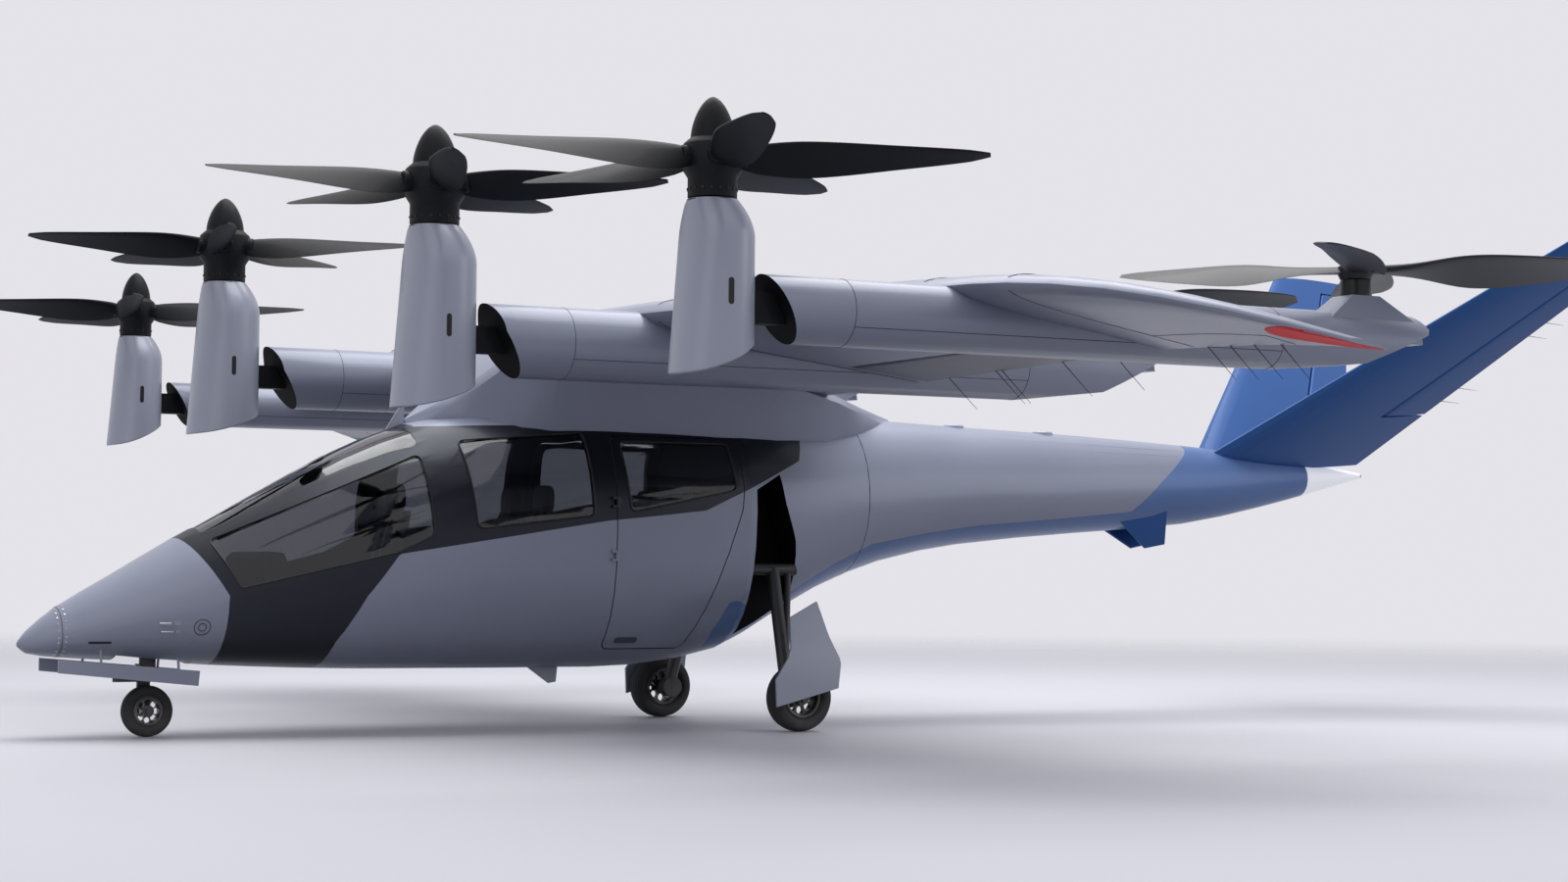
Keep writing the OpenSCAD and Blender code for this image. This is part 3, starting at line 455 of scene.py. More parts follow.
class Palette:
    """Every finish of the aircraft, built when it is first used."""

    silver = Paint("silver_paint", SILVER, 0.34, "paint", coat=0.12, specular=0.35)
    # The livery's bluish specular tint is a painted reflection of bluish surroundings in its gloss.
    livery = Livery("livery_paint", SILVER, 0.34, "paint", coat=0.06, specular=0.4, tint=(0.80, 0.86, 1.0))
    pale = Paint("pale_paint", (0.38, 0.40, 0.48), 0.36, "pale", coat=0.15)
    # Dark grey paint; on the flaps it is painted shade, standing in for the shade on their undersides.
    shade = Paint("shade_paint", (0.08, 0.083, 0.10), 0.42, "paint", coat=0.1, tone_depth=0.12,
                  relief_scale=700.0)
    blue = Paint("blue_paint", (0.020, 0.090, 0.29), 0.36, "blue", coat=0.08, tone_depth=0.14, specular=0.2)
    black = Finish("black_trim", (0.010, 0.010, 0.012), 0.38, "dark", coat=0.1, tone_depth=0.2, specular=0.3,
                   relief_scale=500.0, relief_depth=0.0003)
    carbon = Finish("carbon_shell", (0.006, 0.0065, 0.009), 0.52, "carbon", coat=0.04, specular=0.16,
                    texture=Texture.TWILL, relief_scale=95.0, relief_depth=0.0004, tone_depth=0.3)
    blade = Finish("rotor_blade", (0.022, 0.023, 0.029), 0.46, "blade_grey", coat=0.05, specular=0.3,
                   relief_scale=400.0, relief_depth=0.0002, tone_depth=0.25)
    glass = Finish("tinted_glass", (0.25, 0.26, 0.29), 0.03, "tint", transmission=1.0, tone_depth=0.03,
                   spread=0.01)
    gear = Finish("gear_enamel", (0.03, 0.031, 0.034), 0.45, "gear", metallic=0.2, relief_scale=300.0,
                  relief_depth=0.0004, dust_top=0.9, dust=0.35)
    rim = Finish("wheel_alloy", (0.06, 0.061, 0.066), 0.36, "rim", metallic=0.7, texture=Texture.BRUSHED,
                 relief_scale=260.0, relief_depth=0.0003, dust_top=0.7, dust=0.3)
    rubber = Finish("tyre_rubber", (0.014, 0.014, 0.015), 0.72, "tire", relief_scale=420.0,
                    relief_depth=0.0012, dust_top=0.25, dust=0.35)
    cabin = Finish("cabin_lining", (0.09, 0.092, 0.10), 0.62, "cabin", relief_scale=260.0,
                   relief_depth=0.0008)
    carpet = Finish("floor_carpet", (0.035, 0.036, 0.042), 0.9, "cabin", texture=Texture.CLOTH,
                    relief_scale=150.0, relief_depth=0.002, sheen=0.2)
    cloth = Finish("seat_cloth", (0.10, 0.102, 0.115), 0.82, "seat", texture=Texture.CLOTH,
                   relief_scale=230.0, relief_depth=0.0012, sheen=0.3)
    leather = Finish("seat_leather", (0.032, 0.032, 0.036), 0.5, "seat", relief_scale=330.0,
                     relief_depth=0.0016)
    steel = Finish("bright_steel", (0.52, 0.53, 0.55), 0.28, "steel", metallic=1.0, texture=Texture.BRUSHED,
                   relief_scale=220.0, relief_depth=0.0002)
    battery = Finish("battery_case", (0.07, 0.072, 0.078), 0.5, "battery", metallic=0.4, relief_scale=240.0,
                     relief_depth=0.0005)
    # Near black painted shade for hollows: the gear bay inside the tail boom, the booms' open mouths and the
    # nacelles' arm slots.
    hollow_shade = Finish("dark_recess", (0.004, 0.004, 0.005), 0.7, "dark", specular=0.1, tone_depth=0.3,
                    relief_scale=300.0, relief_depth=0.0004)
    seam = Finish("seam_sealant", (0.022, 0.022, 0.026), 0.6, "dark", relief_scale=500.0, relief_depth=0.0003)
    red_lens = Finish("red_lens", (0.62, 0.010, 0.018), 0.4, "paint", specular=0.02, glow=0.2, tone_depth=0.2)
    green_lens = Finish("green_lens", (0.015, 0.30, 0.07), 0.35, "paint", coat=0.05, specular=0.15, glow=0.25,
                        tone_depth=0.2)
    lamp = Finish("lamp_lens", (0.75, 0.76, 0.78), 0.12, "pale", coat=0.8, tone_depth=0.2)
    # White cap over the tail end; its white and its glow are a painted highlight for the lit underside of the
    # tail.
    tail_cap_highlight = Finish("tail_light_cap", (0.86, 0.87, 0.90), 0.3, "pale", coat=0.5, glow=0.35,
                       tone_depth=0.06)
    screen = Finish("display_face", (0.02, 0.05, 0.08), 0.15, "dark", coat=0.6, glow=0.25, tone_depth=0.8,
                    tone_scale=22.0)

    built: dict[str, bpy.types.Material] = {}

    @classmethod
    def material(cls, finish: Finish) -> bpy.types.Material:
        """The material of a finish, made once.

        Args:
            finish: the finish.

        Returns:
            Its material.
        """
        if finish.name not in cls.built:
            cls.built[finish.name] = finish.build()
        return cls.built[finish.name]


class NodeTools:
    """Geometry Nodes trees for what repeats or follows a path."""

    trees: dict[str, bpy.types.NodeTree] = {}

    @classmethod
    def tree(cls, name: str, ins: dict[str, str],
             fill: Callable[[Graph, Any], bpy.types.NodeSocket]) -> bpy.types.NodeTree:
        """Gives a tree, building it on first use.

        Args:
            name: the tree's name.
            ins: socket type of each named input after Geometry and Material.
            fill: adds the inner nodes and returns the geometry.

        Returns:
            A tree that ends in Realize Instances and Set Material.
        """
        if name not in cls.trees:
            tree = bpy.data.node_groups.new(name, "GeometryNodeTree")
            tree.is_modifier = True
            sockets = {"Geometry": "NodeSocketGeometry", "Material": "NodeSocketMaterial", **ins}
            for label, kind in sockets.items():
                tree.interface.new_socket(label, in_out="INPUT", socket_type=kind)
            tree.interface.new_socket("Geometry", in_out="OUTPUT", socket_type="NodeSocketGeometry")
            graph = Graph(tree)
            entry = graph.add("NodeGroupInput").outputs
            made = graph.add("GeometryNodeRealizeInstances", {0: fill(graph, entry)})
            coat = graph.add("GeometryNodeSetMaterial",
                             {"Geometry": made.outputs[0], "Material": entry["Material"]})
            graph.add("NodeGroupOutput", {0: coat.outputs[0]})
            cls.trees[name] = tree
        return cls.trees[name]

    @classmethod
    def studs(cls) -> bpy.types.NodeTree:
        """A small frustum on each point, standing along the point's own direction.

        Returns:
            The tree, with inputs for the frustum's sizes.
        """

        def fill(graph: Graph, entry: Any) -> bpy.types.NodeSocket:
            """Cones placed on points and turned to the attribute out.

            Args:
                graph: the tree's nodes.
                entry: the tree's inputs.

            Returns:
                The socket of the geometry.
            """
            cone = graph.add("GeometryNodeMeshCone",
                             {"Vertices": entry["Sides"], "Radius Bottom": entry["Radius"],
                              "Radius Top": entry["Top"], "Depth": entry["Height"]})
            out = graph.add("GeometryNodeInputNamedAttribute", {"Name": "out"}, data_type="FLOAT_VECTOR")
            turn = graph.add("FunctionNodeAlignRotationToVector", {"Vector": out.outputs[0]}, axis="Z")
            placed = graph.add("GeometryNodeInstanceOnPoints",
                               {"Points": entry["Geometry"], "Instance": cone.outputs["Mesh"],
                                "Rotation": turn.outputs[0]})
            return placed.outputs[0]

        ins = {"Sides": "NodeSocketInt", "Radius": "NodeSocketFloat", "Top": "NodeSocketFloat",
               "Height": "NodeSocketFloat"}
        return cls.tree("studs_on_points", ins, fill)

    @classmethod
    def sweep(cls) -> bpy.types.NodeTree:
        """A round bead along the edges of a path.

        Returns:
            The tree, with inputs for the bead's sizes.
        """

        def fill(graph: Graph, entry: Any) -> bpy.types.NodeSocket:
            """The path becomes a curve with a circle as its profile.

            Args:
                graph: the tree's nodes.
                entry: the tree's inputs.

            Returns:
                The socket of the geometry.
            """
            curve = graph.add("GeometryNodeMeshToCurve", {0: entry["Geometry"]})
            ring = graph.add("GeometryNodeCurvePrimitiveCircle",
                             {"Resolution": entry["Sides"], "Radius": entry["Radius"]})
            tube = graph.add("GeometryNodeCurveToMesh",
                             {"Curve": curve.outputs[0], "Profile Curve": ring.outputs[0], "Fill Caps": True})
            return tube.outputs[0]

        return cls.tree("bead_on_path", {"Sides": "NodeSocketInt", "Radius": "NodeSocketFloat"}, fill)


class Workshop:
    """Makes, smooths and attaches pieces."""

    frame: dict[str, Any] = {}
    body_of: dict[str, str] = {}

    @classmethod
    def open(cls) -> None:
        """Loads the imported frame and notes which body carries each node."""
        cls.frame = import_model()
        bodies = cls.frame["record"]["behaviour"]["bodies"]
        cls.body_of = {node: body for body, nodes in bodies.items() for node in nodes}

    @staticmethod
    def link(name: str, data: bpy.types.ID) -> bpy.types.Object:
        """Puts an object in the scene.

        Args:
            name: its name.
            data: its mesh, camera or lamp.

        Returns:
            The new object.
        """
        piece = bpy.data.objects.new(name, data)
        bpy.context.scene.collection.objects.link(piece)
        return piece

    @classmethod
    def shape(cls, name: str, points: Iterable[Sequence[float]],
              faces: Iterable[Sequence[int]]) -> bpy.types.Object:
        """An object at the origin with its place in its mesh.

        Args:
            name: the piece's name.
            points: its corners in metres.
            faces: its faces as corner numbers.

        Returns:
            The new object, with its normals pointing outwards.
        """
        mesh = bpy.data.meshes.new(name)
        mesh.from_pydata([tuple(p) for p in points], [], [tuple(f) for f in faces])
        body = bmesh.new()
        body.from_mesh(mesh)
        bmesh.ops.remove_doubles(body, verts=body.verts, dist=1e-6)
        bmesh.ops.recalc_face_normals(body, faces=body.faces)
        body.to_mesh(mesh)
        body.free()
        return cls.link(name, mesh)

    @staticmethod
    def soften(piece: bpy.types.Object, width: float, angle: float = 30.0) -> None:
        """Adds a bevel along the sharper edges of a piece.

        Args:
            piece: the object.
            width: the bevel's width in metres.
            angle: edges sharper than this many degrees are softened.
        """
        soft = piece.modifiers.new("soft_edges", "BEVEL")
        soft.width = width
        soft.segments = 2
        soft.limit_method = "ANGLE"
        soft.angle_limit = math.radians(angle)

    @staticmethod
    def settle(piece: bpy.types.Object) -> None:
        """Turns a piece with its modifiers into a plain mesh.

        Args:
            piece: the object.
        """
        graph = bpy.context.evaluated_depsgraph_get()
        made = bpy.data.meshes.new_from_object(piece.evaluated_get(graph))
        piece.modifiers.clear()
        piece.data = made
        piece.data.name = piece.name

    @classmethod
    def keep(cls, piece: bpy.types.Object, finish: Finish, body: str, *nodes: str,
             angle: float = 35.0) -> bpy.types.Object:
        """Dresses a piece and tells the frame what carries it.

        Args:
            piece: the object.
            finish: its finish.
            body: the CAD body that it moves with.
            nodes: CAD nodes that it stands for.
            angle: edges sharper than this many degrees stay sharp.

        Returns:
            The same piece.
        """
        piece.data.materials.clear()
        piece.data.materials.append(Palette.material(finish))
        piece.data.shade_smooth()
        piece.data.set_sharp_from_angle(angle=math.radians(angle))
        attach(piece, body)
        if nodes:
            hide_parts(*nodes)
        LOG.info("%s: %d faces on %s", piece.name, len(piece.data.polygons), body)
        return piece

    @classmethod
    def skin(cls, node: str, finish: Finish, angle: float = 32.0, bevel: float = 0.0,
             others: Sequence[tuple[Finish, FaceTest]] = ()) -> bpy.types.Object:
        """A merged, smoothly shaded copy of a CAD node that stands for it.

        Args:
            node: the CAD node.
            finish: the finish of the copy.
            angle: edges sharper than this many degrees stay sharp.
            bevel: width in metres of the softened edges, or 0.
            others: finishes of the faces that pass a test on their centre and normal.

        Returns:
            The copy.
        """
        source = cls.frame["nodes"][node].data
        body = bmesh.new()
        body.from_mesh(source)
        bmesh.ops.remove_doubles(body, verts=body.verts, dist=2e-5)
        bmesh.ops.dissolve_limit(body, angle_limit=math.radians(0.4), verts=body.verts, edges=body.edges)
        corners = [v.co.copy() for v in body.verts]
        faces = [[v.index for v in face.verts] for face in body.faces]
        body.free()
        mesh = bpy.data.meshes.new(node + "_skin")
        mesh.from_pydata(corners, [], faces)
        piece = cls.link(node + "_skin", mesh)
        if bevel > 0.0:
            cls.soften(piece, bevel, max(angle, 40.0))
        mesh.shade_smooth()
        mesh.set_sharp_from_angle(angle=math.radians(angle))
        even = piece.modifiers.new("even_normals", "WEIGHTED_NORMAL")
        even.keep_sharp = True
        cls.settle(piece)
        piece.data.materials.clear()
        piece.data.materials.append(Palette.material(finish))
        for index, (other, test) in enumerate(others):
            piece.data.materials.append(Palette.material(other))
            for face in piece.data.polygons:
                if test(face.center, face.normal):
                    face.material_index = index + 1
        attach(piece, cls.body_of[node])
        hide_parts(node)
        LOG.info("%s: %d faces", piece.name, len(piece.data.polygons))
        return piece

    @classmethod
    def from_tree(cls, name: str, tree: bpy.types.NodeTree, piece: bpy.types.Object, finish: Finish,
                  body: str, angle: float = 35.0, **sizes: float) -> bpy.types.Object:
        """Runs a Geometry Nodes tree over a piece and keeps the plain mesh that comes out.

        Args:
            name: the piece's name.
            tree: the tree.
            piece: carries the points or the path.
            finish: the finish of the result.
            body: the CAD body that it moves with.
            angle: edges sharper than this stay sharp.
            sizes: a value for each named input.

        Returns:
            The finished piece.
        """
        modifier = piece.modifiers.new(name, "NODES")
        modifier.node_group = tree
        values = {"Material": Palette.material(finish), **sizes}
        for item in tree.interface.items_tree:
            if item.in_out == "INPUT" and item.name in values:
                modifier[item.identifier] = values[item.name]
        cls.settle(piece)
        return cls.keep(piece, finish, body, angle=angle)

    @classmethod
    def bead(cls, name: str, paths: Sequence[Sequence[Vector]], radius: float, finish: Finish, body: str,
             sides: int = 8) -> bpy.types.Object:
        """A round bead along each path, as one piece.

        Args:
            name: the piece's name.
            paths: the points of each path.
            radius: the bead's radius in metres.
            finish: the finish.
            body: the CAD body that carries it.
            sides: corners of the bead's section.

        Returns:
            The piece.
        """
        mesh = bpy.data.meshes.new(name)
        points: list[Vector] = []
        edges: list[tuple[int, int]] = []
        for path in paths:
            first = len(points)
            points += list(path)
            edges += [(i, i + 1) for i in range(first, len(points) - 1)]
        mesh.from_pydata(points, edges, [])
        return cls.from_tree(name, NodeTools.sweep(), cls.link(name, mesh), finish, body, angle=60.0,
                             Sides=sides, Radius=radius)

    @classmethod
    def studs(cls, name: str, points: Sequence[tuple[Vector, Vector]], radius: float, height: float,
              finish: Finish, body: str, sides: int = 10, top: float = 0.85) -> bpy.types.Object:
        """A small frustum on each point along its own direction, as one piece.

        Args:
            name: the piece's name.
            points: each foot and its direction.
            radius: radius of the foot in metres.
            height: height in metres.
            finish: the finish.
            body: the CAD body that carries it.
            sides: corners of the foot.
            top: share of the radius at the top.

        Returns:
            The piece.
        """
        mesh = bpy.data.meshes.new(name)
        mesh.from_pydata([p for p, _ in points], [], [])
        out = mesh.attributes.new("out", "FLOAT_VECTOR", "POINT")
        for item, (_, direction) in zip(out.data, points):
            item.vector = direction.normalized()
        return cls.from_tree(name, NodeTools.studs(), cls.link(name, mesh), finish, body, Sides=sides,
                             Radius=radius, Top=radius * top, Height=height)


@dataclass
class Studio:
    """Camera, lamps, floor and backdrop."""

    eye: Point = (11.610, 19.430, 1.182)
    right: Point = (-0.87178, 0.48984, 0.00698)
    up: Point = (0.02872, 0.03689, 0.99891)
    look: Point = (-0.48905, -0.87103, 0.04623)
    lens: float = 64.89
    pale: Point = (0.78, 0.77, 0.815)
    dome_low: Point = (0.24, 0.25, 0.295)
    dome_high: Point = (0.78, 0.80, 0.88)
    floor_lit: Point = (0.19, 0.19, 0.215)
    floor_seen: Point = (0.60, 0.595, 0.625)
    floor_half: float = 150.0
    floor_fade: Flat = (9.0, 34.0)
    lamps: tuple[tuple[str, Point, Point, float, float], ...] = (
        ("overhead", (-0.5, -2.0, 16.0), (0.0, 0.0, 1.0), 16.0, 2600.0),
        ("front", (16.0, 12.0, 9.0), (0.0, 0.0, 1.5), 10.0, 150.0),
        ("rear", (-15.0, 13.0, 6.0), (-2.0, 0.0, 2.0), 9.0, 320.0))

    def build(self) -> None:
        """Sets the camera, the light and the ground."""
        scene = bpy.context.scene
        scene.view_settings.view_transform = "Standard"
        data = bpy.data.cameras.new("camera")
        data.lens = self.lens
        data.sensor_width = 36.0
        data.clip_end = 400.0
        camera = Workshop.link("camera", data)
        columns = (self.right, self.up, tuple(-v for v in self.look), self.eye)
        camera.matrix_world = Matrix([[c[i] for c in columns] for i in range(3)] + [[0, 0, 0, 1]])
        scene.camera = camera
        self.light()
        self.ground()

    @staticmethod
    def seen(graph: Graph) -> bpy.types.NodeSocket:
        """1 for rays that show the background: from the camera, a mirror or glass.

        Args:
            graph: the nodes of the world or of the floor.

        Returns:
            The socket of the mask.
        """
        paths = graph.add("ShaderNodeLightPath").outputs
        shown = graph.math("MAXIMUM", paths["Is Camera Ray"], paths["Is Transmission Ray"])
        return graph.math("MAXIMUM", shown, paths["Is Glossy Ray"])

    def light(self) -> None:
        """A pale sky with a large soft lamp overhead and weaker ones from the front and the rear."""
        world = bpy.data.worlds.new("studio")
        bpy.context.scene.world = world
        world.use_nodes = True
        graph = Graph(world.node_tree)
        sky = world.node_tree.nodes["Background"]
        height = graph.add("ShaderNodeSeparateXYZ", {0: graph.add("ShaderNodeTexCoord").outputs["Generated"]})
        rise = graph.add("ShaderNodeMapRange",
                         {"Value": height.outputs[2], "From Min": -0.1, "From Max": 0.9})
        dome = graph.mix(rise.outputs[0], (*self.dome_low, 1.0), (*self.dome_high, 1.0))
        graph.feed(sky.inputs["Color"], graph.mix(self.seen(graph), dome, (*self.pale, 1.0)))
        for name, place, aim, size, power in self.lamps:
            data = bpy.data.lights.new(name, "AREA")
            data.energy = power
            data.size = size
            lamp = Workshop.link(name, data)
            lamp.location = place
            lamp.rotation_euler = (Vector(aim) - Vector(place)).to_track_quat("-Z", "Y").to_euler()

    def ground(self) -> None:
        """A wide pale floor that fades out into the backdrop."""
        half = self.floor_half
        corners = [(-half, -half, 0.0), (half, -half, 0.0), (half, half, 0.0), (-half, half, 0.0)]
        floor = Workshop.shape("floor", corners, [(0, 1, 2, 3)])
        material = bpy.data.materials.new("floor_sheet")
        material.use_nodes = True
        graph = Graph(material.node_tree)
        shader = material.node_tree.nodes["Principled BSDF"]
        sheet = graph.mix(self.seen(graph), (*self.floor_lit, 1.0), (*self.floor_seen, 1.0))
        tone = graph.add("ShaderNodeGroup", {"Color": sheet, "Scale": 0.2, "Depth": 0.05, "Roughness": 0.6,
                                             "Spread": 0.1}, node_tree=GROUPS.uneven_tone())
        graph.feed(shader.inputs["Base Color"], tone.outputs["Color"])
        graph.feed(shader.inputs["Roughness"], tone.outputs["Roughness"])
        place = graph.add("ShaderNodeTexCoord").outputs["Object"]
        reach = graph.add("ShaderNodeVectorMath", {0: place}, operation="LENGTH").outputs["Value"]
        near, far = self.floor_fade
        fade = graph.add("ShaderNodeMapRange", {"Value": reach, "From Min": near, "From Max": far},
                         interpolation_type="SMOOTHSTEP")
        clear = graph.add("ShaderNodeBsdfTransparent")
        blend = graph.add("ShaderNodeMixShader",
                          {0: fade.outputs[0], 1: shader.outputs[0], 2: clear.outputs[0]})
        graph.feed(material.node_tree.nodes["Material Output"].inputs[0], blend.outputs[0])
        floor.data.materials.append(material)


@dataclass(frozen=True)
class Table:
    """Rows of numbers with a smooth curve through each column."""

    rows: tuple[tuple[float, ...], ...]

    def slope(self, column: int, index: int) -> float:
        """Slope of a column at a row, from its neighbours.

        Args:
            column: the number of the column.
            index: the number of the row.

        Returns:
            The slope.
        """
        low = self.rows[max(index - 1, 0)]
        high = self.rows[min(index + 1, len(self.rows) - 1)]
        return (high[column] - low[column]) / (high[0] - low[0])

    def curve(self, column: int, place: float) -> float:
        """The column's value at a place along the first column.

        Args:
            column: the number of the column.
            place: a value of the first column.

        Returns:
            The value on the smooth curve.
        """
        index = 0
        while index < len(self.rows) - 2 and place >= self.rows[index + 1][0]:
            index += 1
        low, high = self.rows[index], self.rows[index + 1]
        span = high[0] - low[0]
        u = (place - low[0]) / span
        start, leave = 2 * u**3 - 3 * u**2 + 1, u**3 - 2 * u**2 + u
        end, arrive = 3 * u**2 - 2 * u**3, u**3 - u**2
        return (start * low[column] + leave * span * self.slope(column, index)
                + end * high[column] + arrive * span * self.slope(column, index + 1))


@dataclass(frozen=True)
class FuselageSkin(Table):
    """The fuselage's outer surface. Columns: station, belly, crown, half width, shoulder, two fullnesses."""

    rows: tuple[tuple[float, ...], ...] = (
        (0, 636, 664, 12, 650, 2.0, 2.0), (60, 588, 742, 84, 655, 2.0, 2.0),
        (260, 562, 905, 205, 700, 1.9, 2.0), (620, 540, 1118, 345, 790, 1.9, 2.0),
        (1080, 515, 1390, 490, 905, 2.1, 2.0),
        (1340, 498, 1530, 555, 975, 2.2, 2.05), (1960, 472, 1880, 685, 1150, 2.4, 2.15),
        (2500, 460, 2145, 775, 1290, 2.5, 2.2), (3200, 455, 2365, 825, 1400, 2.6, 2.3),
        (4000, 455, 2440, 835, 1480, 2.6, 2.4), (4600, 465, 2455, 825, 1540, 2.5, 2.4),
        (5280, 580, 2450, 785, 1620, 2.4, 2.3), (5750, 815, 2440, 725, 1680, 2.2, 2.2),
        (6200, 1050, 2425, 645, 1730, 2.1, 2.1), (6800, 1265, 2405, 550, 1780, 2.0, 2.0),
        (7600, 1415, 2375, 460, 1830, 1.9, 1.9), (8800, 1525, 2335, 370, 1880, 1.9, 1.9),
        (9900, 1615, 2285, 295, 1930, 1.9, 1.9), (10700, 1765, 2225, 210, 1990, 2.0, 2.0),
        (11300, 1905, 2165, 125, 2035, 2.0, 2.0), (11880, 2052, 2088, 18, 2070, 2.0, 2.0))

    def section(self, station: float, up: bool) -> tuple[float, float, float, float]:
        """Sizes of one half of a cross section.

        Args:
            station: distance behind the nose tip.
            up: whether it is the upper half.

        Returns:
            Half width, shoulder height, reach above or below the shoulder, and fullness.
        """
        belly, crown, half, shoulder = (self.curve(column, station) for column in (1, 2, 3, 4))
        reach = crown - shoulder if up else shoulder - belly
        return half, shoulder, reach, self.curve(6 if up else 5, station)

    def point(self, station: float, angle: float, proud: float = 0.0) -> Vector:
        """A point of the skin at an angle.

        Args:
            station: distance behind the nose tip.
            angle: degrees from the left side upwards.
            proud: distance above the skin in millimetres.

        Returns:
            The point in metres.
        """
        sine, cosine = math.sin(math.radians(angle)), math.cos(math.radians(angle))
        half, shoulder, reach, full = self.section(station, sine >= 0.0)
        y = math.copysign(abs(cosine) ** (2 / full), cosine) * (half + proud)
        z = shoulder + math.copysign(abs(sine) ** (2 / full), sine) * (reach + proud)
        return at(station, y, z)

    def at_height(self, station: float, z: float, side: int = 1, proud: float = 0.0) -> Vector:
        """The point of the skin at a height, on one side.

        Args:
            station: distance behind the nose tip.
            z: height in millimetres.
            side: 1 for the left side, -1 for the right.
            proud: distance above the skin in millimetres.

        Returns:
            The point in metres.
        """
        half, shoulder, reach, full = self.section(station, z >= self.curve(4, station))
        share = min(abs(z - shoulder) / reach, 0.9999)
        return at(station, side * (half * (1 - share**full) ** (1 / full) + proud), z)

    def depth(self, place: Vector) -> float:
        """How far a point lies inside the skin.

        Args:
            place: the point.

        Returns:
            The depth in metres, less than 0 outside.
        """
        station = min(max(station_of(place), 1.0), self.rows[-1][0] - 1.0)
        height = place.z / MM
        half, shoulder, reach, full = self.section(station, height >= self.curve(4, station))
        share = (abs(place.y / MM / half) ** full + abs((height - shoulder) / reach) ** full) ** (1 / full)
        arm = math.hypot(place.y / MM, height - shoulder)
        return arm * (1.0 / max(share, 0.05) - 1.0) * MM

    def line(self, corners: Sequence[Flat], side: int = 1, proud: float = 0.0, step: float = 40.0,
             closed: bool = False) -> list[Vector]:
        """A path on the skin along a line that is drawn in side view.

        Args:
            corners: station and height of the line's corners.
            side: 1 for the left side, -1 for the right.
            proud: distance above the skin in millimetres.
            step: longest gap between two points of the path.
            closed: whether the line returns to its start.

        Returns:
            The points of the path.
        """
        ends = list(corners) + ([corners[0]] if closed else [])
        path: list[Vector] = []
        for (s0, z0), (s1, z1) in zip(ends, ends[1:]):
            count = max(1, int(math.hypot(s1 - s0, z1 - z0) / step))
            path += [self.at_height(s0 + (s1 - s0) * i / count, z0 + (z1 - z0) * i / count, side, proud)
                     for i in range(count)]
        path.append(self.at_height(*ends[-1], side, proud))
        return path


def foil(share: float, thick: float, camber: float) -> tuple[float, float]:
    """A foil's middle line and thickness, for a chord of 1.

    Args:
        share: place along the chord.
        thick: greatest thickness.
        camber: greatest height of the middle line.

    Returns:
        Height of the middle line and half the thickness there.
    """
    half = 5 * thick * (0.2969 * math.sqrt(share) - 0.126 * share - 0.3516 * share**2 + 0.2843 * share**3
                        - 0.1036 * share**4)
    if share < 0.4:
        return camber / 0.16 * (0.8 * share - share**2), half
    return camber / 0.36 * (0.2 + 0.8 * share - share**2), half


@dataclass(frozen=True)
class WingShape(Table):
    """The wing's surface. Columns: side, leading and trailing station, their heights, thickness share."""

    rows: tuple[tuple[float, ...], ...] = (
        (0, 3560, 6120, 2930, 2545, 0.125), (2200, 3590, 5780, 2925, 2535, 0.135),
        (5500, 3920, 5430, 2850, 2545, 0.135), (6100, 4020, 5385, 2830, 2525, 0.13),
        (6700, 4260, 5370, 2760, 2500, 0.12), (7200, 4720, 5450, 2625, 2465, 0.11),
        (7500, 5330, 5600, 2470, 2430, 0.10))
    camber: float = 0.03
    edge: float = 4.0

    def point(self, y: float, share: float, face: int, side: int = 1, proud: float = 0.0) -> Vector:
        """A point of the surface.

        Args:
            y: distance from the centre line.
            share: share of the chord, from the leading edge.
            face: 1 for the upper surface, -1 for the lower.
            side: 1 for the left wing, -1 for the right.
            proud: distance above the surface.

        Returns:
            The point in metres.
        """
        lead, trail, z0, z1, thick = (self.curve(column, y) for column in (1, 2, 3, 4, 5))
        chord = trail - lead
        mean, half = foil(share, thick, self.camber)
        z = z0 + share * (z1 - z0) + mean * chord + face * (half * chord + self.edge / 2 + proud)
        return at(lead + share * chord, side * y, z)


@dataclass(frozen=True)
class BladeShape(Table):
    """A twisted blade. Columns: share of the radius, chord, pitch in degrees, thickness."""

    radius: float = 1550.0
    count: int = 5
    phase: float = 0.0
    camber: float = 0.03
    pivot: float = 0.4

    def ring(self, share: float, steps: int = 16) -> list[Point]:
        """The foil at a share of the radius.

        Args:
            share: the share.
            steps: points along each face.

        Returns:
            Distance out, along the turn and up of each point, in millimetres.
        """
        chord, pitch, thick = (self.curve(column, share) for column in (1, 2, 3))
        turn = math.radians(pitch)
        shares = [0.5 - 0.5 * math.cos(math.pi * i / steps) for i in range(steps + 1)]
        ring = []
        for face, places in ((1, shares), (-1, shares[::-1])):
            for place in places:
                mean, half = foil(place, thick / chord, self.camber)
                y = (place - self.pivot) * chord
                z = mean * chord + face * (half * chord + 1.0)
                ring.append((share * self.radius, y * math.cos(turn) + z * math.sin(turn),
                             z * math.cos(turn) - y * math.sin(turn)))
        return ring

    def mesh(self, center: Vector, side: int, rows: int = 26) -> Mesh:
        """All the blades of one hub.

        Args:
            center: the middle of the hub.
            side: 1 for the left side, -1 for its mirror image.
            rows: foils along a blade.

        Returns:
            Their points and faces.
        """
        first = self.rows[0][0]
        rings = [self.ring(first + (1 - first) * i / rows) for i in range(rows + 1)]
        count = len(rings[0])
        points: list[Vector] = []
        faces: list[list[int]] = []
        for blade in range(self.count):
            turn = math.radians(self.phase) + math.tau * blade / self.count
            base = len(points)
            points += [center + Vector(((x * math.cos(turn) - y * math.sin(turn)) * MM,
                                        side * (x * math.sin(turn) + y * math.cos(turn)) * MM, z * MM))
                       for ring in rings for x, y, z in ring]
            faces += bridged(rows, count, base)
            faces += [[base + i for i in range(count)], [base + rows * count + i for i in range(count)]]
        return points, faces


